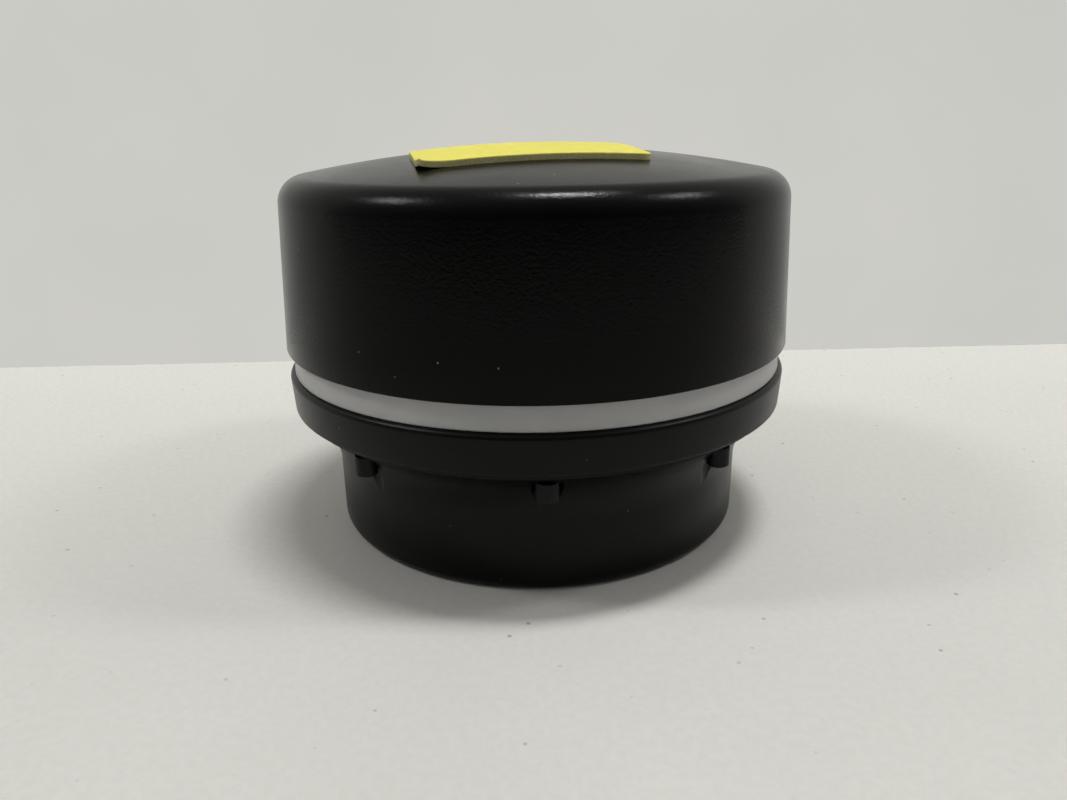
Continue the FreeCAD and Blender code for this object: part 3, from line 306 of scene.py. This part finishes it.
BLACK = srgb(1.5, 1.5, 1.5)
BLACK_LIGHT = srgb(3.5, 3.5, 3.5)
MATERIALS = {
    "cover_paint": painted("cover_paint", BLACK, BLACK_LIGHT, 0.2, 0.5, 0.05, 1.2, dust=0.6),
    "body_paint": painted("body_paint", BLACK, BLACK_LIGHT, 0.32, 0.4, 0.04, 1.25, dust=0.4),
    "ring_finish": painted("ring_finish", srgb(172, 172, 171), srgb(182, 182, 180), 0.42, 0.12, 0.01, 1.45),
    "dark_steel": metal("dark_steel", (0.022, 0.022, 0.023, 1.0), 0.42),
    "screw_steel": metal("screw_steel", (0.55, 0.55, 0.54, 1.0), 0.28),
    "ring_metal": metal("ring_metal", (0.13, 0.13, 0.135, 1.0), 0.34, (1.0, 1.0, 6.0)),
    "clear_glass": glass_material("clear_glass", (0.86, 0.95, 0.93, 1.0)),
    "seal_rubber": moulded("seal_rubber", (0.016, 0.016, 0.016, 1.0), 0.75),
    "black_anodised": metal("black_anodised", (0.045, 0.045, 0.048, 1.0), 0.46, scale=1800.0),
    "plain_aluminium": metal("plain_aluminium", (0.64, 0.64, 0.66, 1.0), 0.34, (1.0, 8.0, 1.0)),
    "ceramic_dark": moulded("ceramic_dark", (0.055, 0.045, 0.045, 1.0), 0.55),
    "ceramic_white": moulded("ceramic_white", (0.78, 0.77, 0.74, 1.0), 0.5, shade=0.9),
    "silicon": silicon_material(),
    "copper": metal("copper", (0.80, 0.42, 0.28, 1.0), 0.3, (6.0, 1.0, 1.0)),
    "pellet_metal": metal("pellet_metal", (0.36, 0.36, 0.38, 1.0), 0.5),
    "circuit_green": circuit_material(),
    "chip_black": moulded("chip_black", (0.018, 0.018, 0.019, 1.0), 0.6),
    "connector_black": moulded("connector_black", (0.012, 0.012, 0.013, 1.0), 0.45),
    "shell_steel": metal("shell_steel", (0.50, 0.49, 0.47, 1.0), 0.3, (1.0, 1.0, 7.0)),
    "socket_shell": socket_material(),
    "cable_film": moulded("cable_film", (0.50, 0.23, 0.03, 1.0), 0.3, shade=0.8),
    "brass_spacer": metal("brass_spacer", (0.72, 0.56, 0.27, 1.0), 0.3, (1.0, 1.0, 0.3)),
    "tag_yellow": tag_material(),
}


# ---------------------------------------------------------------- mesh helpers
def place(name, mesh, slot, body=HOUSING, replaces=()):
    """Adds a mesh as a piece that rides on a body and stands for the CAD nodes named."""
    piece = bpy.data.objects.new(name, mesh)
    bpy.context.scene.collection.objects.link(piece)
    mesh.materials.append(MATERIALS[slot].mat)
    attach(piece, body)
    if replaces:
        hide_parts(*replaces)
    return piece


def smooth(mesh, degrees=30.0):
    for polygon in mesh.polygons:
        polygon.use_smooth = True
    mesh.set_sharp_from_angle(angle=math.radians(degrees))


def arc(cx, cz, radius, start, end, count):
    """Points of an arc in the radius-height plane, angles in degrees."""
    points = []
    for k in range(count + 1):
        a = math.radians(start + (end - start) * k / count)
        points.append((cx + radius * math.cos(a), cz + radius * math.sin(a)))
    return points


def soften(points, radii, steps=5):
    """Rounds the corners of a closed outline. radii maps a point's number to its radius."""
    out = []
    count = len(points)
    for i, p in enumerate(points):
        radius = radii.get(i, 0.0)
        if not radius:
            out.append(p)
            continue
        here = Vector(p)
        back = Vector(points[i - 1]) - here
        ahead = Vector(points[(i + 1) % count]) - here
        half = back.angle(ahead) / 2
        reach = radius / math.tan(half)
        a = here + back.normalized() * reach
        b = here + ahead.normalized() * reach
        centre = here + (back.normalized() + ahead.normalized()).normalized() * radius / math.sin(half)
        va, vb = a - centre, b - centre
        turn = va.angle_signed(vb)
        for k in range(steps + 1):
            t = -turn * k / steps
            out.append(
                (
                    centre.x + va.x * math.cos(t) - va.y * math.sin(t),
                    centre.y + va.x * math.sin(t) + va.y * math.cos(t),
                )
            )
    return out


def lathe(name, profile, segments=256):
    """Turns a closed outline of (radius, height) in millimetres about Z."""
    mesh = bpy.data.meshes.new(name)
    bm = bmesh.new()
    rings = []
    for r, z in profile:
        if r < 1e-6:
            rings.append([bm.verts.new((0, 0, z * MM))])
            continue
        ring = []
        for k in range(segments):
            a = 2 * math.pi * k / segments
            ring.append(bm.verts.new((r * MM * math.cos(a), r * MM * math.sin(a), z * MM)))
        rings.append(ring)
    for i, ring in enumerate(rings):
        following = rings[(i + 1) % len(rings)]
        if len(ring) == 1 and len(following) == 1:
            continue
        for k in range(segments):
            j = (k + 1) % segments
            if len(ring) == 1:
                bm.faces.new((ring[0], following[j], following[k]))
            elif len(following) == 1:
                bm.faces.new((ring[k], ring[j], following[0]))
            else:
                bm.faces.new((ring[k], ring[j], following[j], following[k]))
    bmesh.ops.recalc_face_normals(bm, faces=bm.faces)
    bm.to_mesh(mesh)
    bm.free()
    return mesh


def shifted(mesh, x, y, z=0.0, turn=0.0):
    """A moved copy of a mesh, in millimetres and degrees about Z."""
    copy = mesh.copy()
    matrix = Matrix.Translation((x * MM, y * MM, z * MM)) @ Matrix.Rotation(math.radians(turn), 4, "Z")
    copy.transform(matrix)
    return copy


def joined(name, meshes):
    mesh = bpy.data.meshes.new(name)
    bm = bmesh.new()
    for part in meshes:
        bm.from_mesh(part)
    bm.to_mesh(mesh)
    bm.free()
    return mesh


def carve(mesh, cutters):
    """Cuts the cutter meshes out of a mesh."""
    target = bpy.data.objects.new("carve_target", mesh)
    tool = bpy.data.objects.new("carve_tool", joined("carve_tool", cutters))
    for o in (target, tool):
        bpy.context.scene.collection.objects.link(o)
    cut = target.modifiers.new("cut", "BOOLEAN")
    cut.operation = "DIFFERENCE"
    cut.solver = "EXACT"
    cut.use_self = False
    cut.object = tool
    graph = bpy.context.evaluated_depsgraph_get()
    result = bpy.data.meshes.new_from_object(target.evaluated_get(graph))
    for o in (target, tool):
        bpy.data.objects.remove(o)
    bm = bmesh.new()
    bm.from_mesh(result)
    bmesh.ops.remove_doubles(bm, verts=bm.verts, dist=WELD * MM)
    bmesh.ops.dissolve_degenerate(bm, edges=bm.edges, dist=WELD * MM)
    bmesh.ops.triangulate(bm, faces=[f for f in bm.faces if len(f.verts) > 4])
    bmesh.ops.dissolve_degenerate(bm, edges=bm.edges, dist=WELD * MM)
    bm.to_mesh(result)
    bm.free()
    result.name = mesh.name
    return result


def drill(x, y, low, high, radius, segments=48):
    profile = [(0, low), (radius, low), (radius, high), (0, high)]
    return shifted(lathe("drill", profile, segments), x, y)


def drills(points, low, high, radius, segments=48):
    return [drill(x, y, low, high, radius, segments) for x, y in points]


def around(radius, degrees):
    a = math.radians(degrees)
    return radius * math.cos(a), radius * math.sin(a)


# ---------------------------------------------------------------- cover
def crown(outer_base, base_z, edge_r, edge_z, top_z, fillet, steps=20):
    """The outline from the skirt over the rounded edge to the apex of the dome."""
    rise = top_z - edge_z
    dome_r = (edge_r * edge_r + rise * rise) / (2 * rise)
    dome_c = Vector((0.0, top_z - dome_r))
    start = Vector((outer_base, base_z))
    along = (Vector((edge_r, edge_z)) - start).normalized()
    inward = Vector((-along.y, along.x))
    base = start + inward * fillet - dome_c
    b = base.dot(along)
    c = base.dot(base) - (dome_r - fillet) ** 2
    t = -b + math.sqrt(b * b - c)
    centre = start + inward * fillet + along * t
    first = math.degrees(math.atan2(-inward.y, -inward.x))
    outward = (centre - dome_c).normalized()
    last = math.degrees(math.atan2(outward.y, outward.x))
    points = [(outer_base, base_z)]
    side_end = start + along * t
    for k in range(1, 6):
        p = start.lerp(side_end, k / 6)
        points.append((p.x, p.y))
    points += arc(centre.x, centre.y, fillet, first, last, steps)
    dome_steps = 24
    for k in range(1, dome_steps + 1):
        a = math.radians(last + (90 - last) * k / dome_steps)
        r = dome_r * math.cos(a)
        points.append((0.0 if k == dome_steps else r, dome_c.y + dome_r * math.sin(a)))
    return points


def dome_height(r):
    dome_r = (EDGE_R * EDGE_R + DOME_RISE * DOME_RISE) / (2 * DOME_RISE)
    return COVER_TOP - dome_r + math.sqrt(dome_r * dome_r - r * r)


outer = crown(COVER_R, RING_TOP, EDGE_R, COVER_EDGE_Z, COVER_TOP, CROWN_R)
inner = crown(
    COVER_R - WALL, RING_TOP, EDGE_R - WALL, COVER_EDGE_Z - WALL, COVER_TOP - WALL, CROWN_R - WALL
)
skirt_edge = 0.35
outer[0:1] = arc(COVER_R - skirt_edge, RING_TOP + skirt_edge, skirt_edge, -90, 0, 4)
cover_mesh = lathe("top_cover_shell", outer + inner[::-1], 320)


def window_cutter():
    """A rounded box through the back of the skirt."""
    radius = WINDOW_CORNER_R
    side = WINDOW_WIDTH / 2 - radius
    low, high = WINDOW_LOW + radius, WINDOW_HIGH - radius
    corners = [(side, low, -90), (side, high, 0), (-side, high, 90), (-side, low, 180)]
    outline = []
    for cx, cz, start in corners:
        outline += arc(cx, cz, radius, start, start + 90, 6)
    bm = bmesh.new()
    near = [bm.verts.new((x * MM, 30 * MM, z * MM)) for x, z in outline]
    far = [bm.verts.new((x * MM, 60 * MM, z * MM)) for x, z in outline]
    bm.faces.new(near)
    bm.faces.new(far[::-1])
    for k in range(len(near)):
        j = (k + 1) % len(near)
        bm.faces.new((near[k], far[k], far[j], near[j]))
    bmesh.ops.recalc_face_normals(bm, faces=bm.faces)
    mesh = bpy.data.meshes.new("window_cutter")
    bm.to_mesh(mesh)
    bm.free()
    return mesh


cover_mesh = carve(cover_mesh, [window_cutter()])
post_points = [around(POST_CIRCLE, angle) for angle in POST_ANGLES]
tube = [(POST_BORE_R, DECK_Z), (POST_R, DECK_Z), (POST_R, POST_TOP), (POST_BORE_R, POST_TOP)]
posts = [shifted(lathe("post", tube, 48), x, y) for x, y in post_points]
cover_mesh = joined("top_cover_shell", [cover_mesh] + posts)
smooth(cover_mesh, 35)
place("top_cover_shell", cover_mesh, "cover_paint", replaces=["top_cover"])

# ---------------------------------------------------------------- pale ring
ring_profile = [
    (RING_BORE_R, FLANGE_TOP),
    (RING_FOOT_R, FLANGE_TOP),
    (RING_R, RING_TOP - 0.02),
    (RING_LEDGE_R, RING_TOP),
    (RING_LEDGE_R, RING_TOP + RING_LEDGE_RISE),
    (RING_BORE_R, RING_TOP + RING_LEDGE_RISE),
]
ring_mesh = lathe("accent_ring_turned", soften(ring_profile, {1: 0.25, 4: 0.3}), 320)
smooth(ring_mesh)
place("accent_ring_turned", ring_mesh, "ring_finish", replaces=["accent_ring"])

# ---------------------------------------------------------------- flange
flange_profile = [
    (0.0, SPIGOT_Z),
    (SPIGOT_R, SPIGOT_Z),
    (SPIGOT_R, GROOVE_LOW),
    (GROOVE_R, GROOVE_LOW),
    (GROOVE_R, GROOVE_HIGH),
    (SPIGOT_R, GROOVE_HIGH),
    (SPIGOT_R, FLANGE_Z),
    (FLANGE_R, FLANGE_Z),
    (FLANGE_TOP_R, FLANGE_TOP),
    (REGISTER_R, FLANGE_TOP),
    (REGISTER_R, DECK_Z),
    (0.0, DECK_Z),
]
flange_mesh = lathe("base_flange_turned", soften(flange_profile, {7: 0.4, 8: LIP_R, 10: 0.3}, 8), 320)


def box(x, y, width, depth, low, high):
    """A box centred on x, y, from low to high."""
    bm = bmesh.new()
    bmesh.ops.create_cube(bm, size=1.0)
    middle = (low + high) / 2
    for v in bm.verts:
        at = (x + v.co.x * width, y + v.co.y * depth, middle + v.co.z * (high - low))
        v.co = Vector(at) * MM
    mesh = bpy.data.meshes.new("box")
    bm.to_mesh(mesh)
    bm.free()
    return mesh


barrel_points = [around(SCREW_CIRCLE, 360 / SCREW_COUNT * k) for k in range(SCREW_COUNT)]
below, above = SPIGOT_Z - CUT_PAST, DECK_Z + CUT_PAST
under = FLANGE_Z - CUT_PAST
flange_cuts = [
    box(0, 0, COOLER_POCKET, COOLER_POCKET, below, COOLER_POCKET_TOP),
    box(0, CABLE_SLOT_Y, CABLE_SLOT_WIDTH, CABLE_SLOT_DEPTH, below, above),
]
flange_cuts += drills(barrel_points, under, SCREW_THREAD_TOP, SCREW_HOLE_R)
flange_cuts += drills(post_points, under, above, POST_BORE_R)
flange_cuts += drills(post_points, under, POST_SCREW_SEAT_TOP, POST_SCREW_SEAT_R)
for cut in flange_cuts:
    flange_mesh = carve(flange_mesh, [cut])
smooth(flange_mesh)
place("base_flange_turned", flange_mesh, "body_paint", replaces=["base_flange"])

# ---------------------------------------------------------------- barrel
cove_drop = RIM_Z - COVE_Z
cove_angle = math.degrees(math.asin(cove_drop / COVE_R))
cove = arc(BARREL_R + COVE_R, COVE_Z, COVE_R, 180, 180 - cove_angle, 22)
barrel_profile = (
    [(MOUNT_R + MOUNT_PLAY, 0.0)]
    + arc(BARREL_R - FOOT_R, FOOT_R, FOOT_R, -90, 0, 10)
    + [(BARREL_R, 5.0), (BARREL_R, 8.5)]
    + cove
    + [
        (RIM_R, RIM_Z),
        (RIM_R, FLANGE_Z - 0.01),
        (BARREL_BORE, FLANGE_Z - 0.01),
        (BARREL_BORE, BARREL_FLOOR),
        (PORT_R, BARREL_FLOOR),
        (PORT_R, MOUNT_DEPTH),
        (MOUNT_R + MOUNT_PLAY, MOUNT_DEPTH),
    ]
)
barrel_mesh = lathe("mount_barrel_turned", barrel_profile, 384)
counterbores = drills(barrel_points, COUNTERBORE_START, SCREW_SEAT, COUNTERBORE_R, 64)
barrel_mesh = carve(barrel_mesh, counterbores)
through = drills(barrel_points, SCREW_SEAT - CUT_PAST, FLANGE_Z + CUT_PAST, SCREW_HOLE_R)
barrel_mesh = carve(barrel_mesh, through)
smooth(barrel_mesh, 28)
place("mount_barrel_turned", barrel_mesh, "body_paint", replaces=["mount_barrel"])


# ---------------------------------------------------------------- screws
def cap_screw(radius, rise, socket, shank, length, teeth=30):
    """A knurled socket-head screw: head from z 0 down to -rise, shank up to length."""
    bm = bmesh.new()
    segments = teeth * 4
    chamfer = 0.28

    def ring(z, base, knurl):
        out = []
        for k in range(segments):
            a = 2 * math.pi * k / segments
            wave = 0.5 + 0.5 * math.cos(a * teeth)
            r = base - knurl * wave
            out.append(bm.verts.new((r * MM * math.cos(a), r * MM * math.sin(a), z * MM)))
        return out

    def hexagon(z, size):
        out = []
        for k in range(segments):
            a = 2 * math.pi * k / segments
            sector = (a + math.pi / 6) % (math.pi / 3) - math.pi / 6
            r = size * math.cos(math.pi / 6) / math.cos(sector)
            out.append(bm.verts.new((r * MM * math.cos(a), r * MM * math.sin(a), z * MM)))
        return out

    rings = [
        ring(length, shank * 0.8, 0),
        ring(length - 0.2, shank, 0),
        ring(0.0, shank, 0),
        ring(0.0, radius - 0.06, 0.0),
        ring(-0.12, radius, 0.07),
        ring(-rise + chamfer + 0.1, radius, 0.07),
        ring(-rise + chamfer, radius - 0.02, 0.0),
        ring(-rise + 0.06, radius - chamfer, 0.0),
        ring(-rise, radius - chamfer - 0.1, 0.0),
        hexagon(-rise, socket + 0.08),
        hexagon(-rise + 0.08, socket),
        hexagon(-rise * 0.5, socket),
    ]
    for first, second in zip(rings, rings[1:]):
        for k in range(segments):
            j = (k + 1) % segments
            bm.faces.new((first[k], first[j], second[j], second[k]))
    bm.faces.new(rings[0])
    bm.faces.new(rings[-1][::-1])
    bmesh.ops.recalc_face_normals(bm, faces=bm.faces)
    mesh = bpy.data.meshes.new("cap_screw")
    bm.to_mesh(mesh)
    bm.free()
    return mesh


def screw_set(name, node, slot, centres, seat, sizes):
    screw = cap_screw(*sizes)
    mesh = joined(name, [shifted(screw, x, y, seat, 17 * k) for k, (x, y) in enumerate(centres)])
    smooth(mesh, 32)
    return place(name, mesh, slot, replaces=[node])


screw_set(
    "barrel_cap_screws", "barrel_screws", "dark_steel", barrel_points, SCREW_SEAT, BARREL_SCREW
)
mount_points = [around(MOUNT_SCREW_CIRCLE, a) for a in MOUNT_SCREW_ANGLES]
screw_set(
    "mount_cap_screws", "mount_ring_screws", "dark_steel", mount_points, MOUNT_SCREW_SEAT, MOUNT_SCREW
)

# ---------------------------------------------------------------- lens thread ring
thread = []
z = MOUNT_DEPTH - 0.5
while z > 0.9:
    root = THREAD_R + THREAD_DEPTH
    thread += [(THREAD_R, z), (root, z - PITCH * 0.45), (THREAD_R, z - PITCH * 0.9)]
    z -= PITCH
mount_profile = (
    [(THREAD_R + THREAD_DEPTH, 0.0), (MOUNT_R - MOUNT_CHAMFER, 0.0)]
    + [(MOUNT_R, MOUNT_CHAMFER), (MOUNT_R, MOUNT_DEPTH)]
    + [(THREAD_R, MOUNT_DEPTH)]
    + thread
    + [(THREAD_R, THREAD_DEPTH)]
)
mount_mesh = lathe("lens_thread_ring", mount_profile, 256)
seats = drills(mount_points, -CUT_PAST, MOUNT_SCREW_SEAT, 2.05)
mount_mesh = carve(mount_mesh, seats)
smooth(mount_mesh)
place("lens_thread_ring", mount_mesh, "ring_metal", replaces=["c_mount_ring"])


# ---------------------------------------------------------------- asset tag
def tag_mesh():
    """A rounded rectangle laid on the dome, with one corner that has come unstuck."""
    x0, y0, length, width, depth = TAG_X, TAG_Y, TAG_LENGTH, TAG_WIDTH, TAG_DEPTH
    cos_t, sin_t = math.cos(math.radians(TAG_TURN)), math.sin(math.radians(TAG_TURN))
    columns, lines = 76, 38
    corner = TAG_CORNER_R
    bm = bmesh.new()

    def lifted(u, v):
        """How far the film has sprung up at u, v, both from -1 to 1."""
        reach = max(0.0, (-u - 0.72) / 0.28) * 0.6 + max(0.0, (-v - 0.5) / 0.5) * 0.5
        both = max(0.0, reach - 0.45)
        return 1.7 * both * both

    def at(i, j):
        u = 2 * i / columns - 1
        v = 2 * j / lines - 1
        px, py = u * length / 2, v * width / 2
        over_x = abs(px) - (length / 2 - corner)
        over_y = abs(py) - (width / 2 - corner)
        if over_x > 0 and over_y > 0:
            far = math.hypot(over_x, over_y)
            square = max(over_x, over_y)
            pull = square / far
            px -= math.copysign(over_x * (1 - pull), px)
            py -= math.copysign(over_y * (1 - pull), py)
        x = x0 + px * cos_t - py * sin_t
        y = y0 + px * sin_t + py * cos_t
        ground = dome_height(math.hypot(x, y))
        return x, y, ground + lifted(u, v)

    layers = []
    levels = (0.0, depth * 0.86, depth * 0.88, depth * 0.96, depth)
    insets = (0.0, 0.0, 0.06, 0.06, 0.16)
    for level, inset in zip(levels, insets):
        grid = []
        for i in range(columns + 1):
            row = []
            for j in range(lines + 1):
                x, y, z_here = at(i, j)
                shrink = 1 - inset / (length / 2)
                x = x0 + (x - x0) * shrink
                y = y0 + (y - y0) * shrink
                row.append(bm.verts.new((x * MM, y * MM, (z_here + level) * MM)))
            grid.append(row)
        layers.append(grid)

    def sheet_faces(grid, flip, index):
        for i in range(columns):
            for j in range(lines):
                quad = [grid[i][j], grid[i + 1][j], grid[i + 1][j + 1], grid[i][j + 1]]
                face = bm.faces.new(quad[::-1] if flip else quad)
                face.material_index = index

    def border(grid):
        path = [grid[i][0] for i in range(columns)]
        path += [grid[columns][j] for j in range(lines)]
        path += [grid[i][lines] for i in range(columns, 0, -1)]
        path += [grid[0][j] for j in range(lines, 0, -1)]
        return path

    sheet_faces(layers[0], True, 1)
    sheet_faces(layers[-1], False, 0)
    for number, (low, high) in enumerate(zip(layers, layers[1:])):
        a, b = border(low), border(high)
        for k in range(len(a)):
            j = (k + 1) % len(a)
            face = bm.faces.new((a[k], a[j], b[j], b[k]))
            face.material_index = 1 if number == 0 else 0
    used = {v for f in bm.faces for v in f.verts}
    for v in [v for v in bm.verts if v not in used]:
        bm.verts.remove(v)
    bmesh.ops.recalc_face_normals(bm, faces=bm.faces)
    mesh = bpy.data.meshes.new("asset_tag_film")
    bm.to_mesh(mesh)
    bm.free()
    return mesh


tag = tag_mesh()
smooth(tag, 50)
tag_piece = place("asset_tag_film", tag, "tag_yellow", replaces=["asset_tag"])
tag_piece.data.materials.append(foam_material().mat)

# ---------------------------------------------------------------- finishes of the CAD nodes
BEVELLED = {
    "rear_bracket": 0.12, "data_socket": 0.12, "jack_posts": 0.15, "window_retainer": 0.1,
    "sensor_package": 0.08, "processor_chip": 0.1, "drive_chips": 0.08, "memory_chips": 0.06,
    "power_inductors": 0.2, "cold_plate": 0.1, "x_carriage": 0.15, "y_carriage": 0.15,
    "stage_frame": 0.15, "cable_connector": 0.1, "sensor_connector": 0.08, "board_link": 0.15,
    "processor_heat_sink": 0.08, "drive_capacitors": 0.3,
}
slots = {part["node"]: part["material_slot"] for part in frame["record"]["subparts"]}
for name, obj in frame["nodes"].items():
    finish = MATERIALS["socket_shell" if name == "data_socket" else slots[name]].mat
    if not obj.material_slots:
        obj.data.materials.append(finish)
    for material_slot in obj.material_slots:
        material_slot.material = finish
    if name in BEVELLED:
        bevel = obj.modifiers.new("edge", "BEVEL")
        bevel.width = BEVELLED[name] * MM
        bevel.segments = 2
        bevel.limit_method = "ANGLE"
        bevel.angle_limit = math.radians(40)
        bevel.harden_normals = False


# ---------------------------------------------------------------- table and wall
def see_through(m, surface, where):
    """Clear where the factor is 1, so that a view from behind or below isn't blocked."""
    choose = m.add("ShaderNodeMixShader")
    m.link(where, choose.inputs[0])
    m.link(surface, choose.inputs[1])
    m.link(m.add("ShaderNodeBsdfTransparent").outputs[0], choose.inputs[2])
    m.link(choose.outputs[0], m.tree.nodes["Material Output"].inputs["Surface"])


def table_material():
    m = Nodes("table_top")
    cells = m.voronoi(240.0)
    chance = m.noise(110.0, 1.0)
    speck = m.math("MULTIPLY", m.ramp(cells, 0.05, 0.11, 0.8, 0.0), m.ramp(chance, 0.56, 0.64, 0.0, 1.0))
    cloud = m.noise(12.0, 4.0)
    pale = m.mix(m.ramp(cloud, 0.3, 0.7, 0.0, 1.0), srgb(187, 186, 181), srgb(193, 192, 187))
    away = m.add("ShaderNodeSeparateXYZ")
    m.link(m.coords, away.inputs["Vector"])
    # painted light: the table's colour is made lighter towards the wall (larger Y), standing in for the
    # brighter light that falls there
    pale = m.mix(m.ramp(away.outputs["Y"], -0.04, 0.09, 0.0, 1.0), pale, srgb(206, 205, 199))
    mottle = m.ramp(m.noise(750.0, 3.0), 0.35, 0.65, 0.0, 0.25)
    pale = m.mix(mottle, pale, srgb(174, 173, 167))
    m.set(Base_Color=m.mix(speck, pale, srgb(120, 116, 112)))
    m.set(Roughness=0.5, Specular_IOR_Level=0.3)
    m.set(Normal=m.bump(m.noise(700.0, 3.0), 0.06, 0.05 * MM))
    ground = m.add("ShaderNodeCombineXYZ")
    m.link(away.outputs["X"], ground.inputs["X"])
    m.link(away.outputs["Y"], ground.inputs["Y"])
    reach = m.add("ShaderNodeVectorMath", operation="LENGTH")
    m.link(ground.outputs[0], reach.inputs[0])
    under_foot = m.math("LESS_THAN", reach.outputs["Value"], (BARREL_R - FOOT_R) * MM)
    behind = m.add("ShaderNodeNewGeometry").outputs["Backfacing"]
    see_through(m, m.bsdf.outputs[0], m.math("MAXIMUM", behind, under_foot))
    return m


def wall_material():
    """Matt wall that is seen from its front only."""
    m = Nodes("wall_paint")
    cloud = m.noise(9.0, 3.0)
    m.set(Base_Color=m.mix(m.ramp(cloud, 0.3, 0.7, 0.0, 1.0), srgb(232, 231, 225), srgb(236, 235, 229)))
    m.set(Roughness=0.8, Specular_IOR_Level=0.2)
    path = m.add("ShaderNodeLightPath")
    seen = m.math("MAXIMUM", path.outputs["Is Camera Ray"], path.outputs["Is Glossy Ray"])
    seen = m.math("MAXIMUM", seen, path.outputs["Is Transmission Ray"])
    glow = m.add("ShaderNodeEmission")
    m.link(
        m.mix(m.ramp(cloud, 0.3, 0.7, 0.0, 1.0), srgb(200, 200, 195), srgb(206, 205, 200)),
        glow.inputs["Color"],
    )
    pale = m.add("ShaderNodeMixShader")
    m.link(seen, pale.inputs[0])
    m.link(m.bsdf.outputs[0], pale.inputs[1])
    m.link(glow.outputs[0], pale.inputs[2])
    see_through(m, pale.outputs[0], m.add("ShaderNodeNewGeometry").outputs["Backfacing"])
    return m


def plane(name, corners, material):
    mesh = bpy.data.meshes.new(name)
    mesh.from_pydata(corners, [], [(0, 1, 2, 3)])
    mesh.materials.append(material.mat)
    obj = bpy.data.objects.new(name, mesh)
    bpy.context.scene.collection.objects.link(obj)
    return obj


WALL_Y, WALL_TOP, HALF = 0.105, 1.4, 1.2
plane("table", [(-HALF, -HALF, 0), (HALF, -HALF, 0), (HALF, HALF, 0), (-HALF, HALF, 0)], table_material())
plane(
    "wall",
    [(-HALF, WALL_Y, 0), (HALF, WALL_Y, 0), (HALF, WALL_Y, WALL_TOP), (-HALF, WALL_Y, WALL_TOP)],
    wall_material(),
)


# ---------------------------------------------------------------- light
def lamp(name, x, y, z, width, depth, power, target=(0, 0, 0.03)):
    data = bpy.data.lights.new(name, "AREA")
    data.shape = "RECTANGLE"
    data.size, data.size_y = width, depth
    data.energy = power
    obj = bpy.data.objects.new(name, data)
    obj.location = (x, y, z)
    obj.rotation_euler = (Vector(target) - Vector((x, y, z))).to_track_quat("-Z", "Y").to_euler()
    bpy.context.scene.collection.objects.link(obj)
    return obj


lamp("ceiling_left", -1.08, -0.10, 1.25, 0.16, 0.3, 5.0)
lamp("ceiling_middle", 0.22, 0.02, 1.7, 0.16, 0.4, 19.0)
lamp("ceiling_right", 1.10, -0.05, 1.25, 0.16, 0.3, 4.5)
lamp("under_light", 0.25, -0.3, -0.6, 0.4, 0.4, 7.0)

world = bpy.data.worlds.new("room")
bpy.context.scene.world = world
world.use_nodes = True
tree = world.node_tree
background = tree.nodes["Background"]
coords = tree.nodes.new("ShaderNodeTexCoord")
split = tree.nodes.new("ShaderNodeSeparateXYZ")
tree.links.new(coords.outputs["Generated"], split.inputs[0])
rise = tree.nodes.new("ShaderNodeMapRange")
for key, value in (("From Min", -0.1), ("From Max", 0.9), ("To Min", 0.19), ("To Max", 0.66)):
    rise.inputs[key].default_value = value
tree.links.new(split.outputs["Z"], rise.inputs["Value"])
front = tree.nodes.new("ShaderNodeMapRange")
for key, value in (("From Min", -0.9), ("From Max", 0.0), ("To Min", 0.3), ("To Max", 1.0)):
    front.inputs[key].default_value = value
tree.links.new(split.outputs["Y"], front.inputs["Value"])
strength = tree.nodes.new("ShaderNodeMath")
strength.operation = "MULTIPLY"
tree.links.new(rise.outputs["Result"], strength.inputs[0])
tree.links.new(front.outputs["Result"], strength.inputs[1])
tree.links.new(strength.outputs[0], background.inputs["Strength"])
background.inputs["Color"].default_value = (1.0, 0.99, 0.975, 1.0)
backdrop = tree.nodes.new("ShaderNodeBackground")
backdrop.inputs["Color"].default_value = srgb(204, 203, 198)
looked_at = tree.nodes.new("ShaderNodeLightPath")
either = tree.nodes.new("ShaderNodeMixShader")
tree.links.new(looked_at.outputs["Is Camera Ray"], either.inputs[0])
tree.links.new(background.outputs[0], either.inputs[1])
tree.links.new(backdrop.outputs[0], either.inputs[2])
tree.links.new(either.outputs[0], tree.nodes["World Output"].inputs["Surface"])

# ---------------------------------------------------------------- camera
LENS, CAMERA_BACK, CAMERA_UP = 26.99, 0.1566, 0.0741
FRONT_TURN, HEADING, PITCH_DOWN, ROLL = 2.0, 0.235, 18.97, -0.805
turn = math.radians(FRONT_TURN)
camera_data = bpy.data.cameras.new("camera")
camera_data.lens, camera_data.sensor_width = LENS, 36.0
camera_data.clip_start = 0.005
camera = bpy.data.objects.new("camera", camera_data)
bpy.context.scene.collection.objects.link(camera)
camera.location = (-CAMERA_BACK * math.sin(turn), -CAMERA_BACK * math.cos(turn), CAMERA_UP)
heading, pitch = math.radians(HEADING), math.radians(PITCH_DOWN)
forward = Vector(
    (-math.sin(heading) * math.cos(pitch), math.cos(heading) * math.cos(pitch), -math.sin(pitch))
)
forward.rotate(Matrix.Rotation(-turn, 3, "Z"))
right = forward.cross(Vector((0, 0, 1))).normalized()
up = right.cross(forward)
roll = math.radians(ROLL)
rolled_right = right * math.cos(roll) + up * math.sin(roll)
rolled_up = up * math.cos(roll) - right * math.sin(roll)
camera.rotation_euler = Matrix((rolled_right, rolled_up, -forward)).transposed().to_euler()
bpy.context.scene.camera = camera
bpy.context.scene.view_settings.view_transform = "Standard"
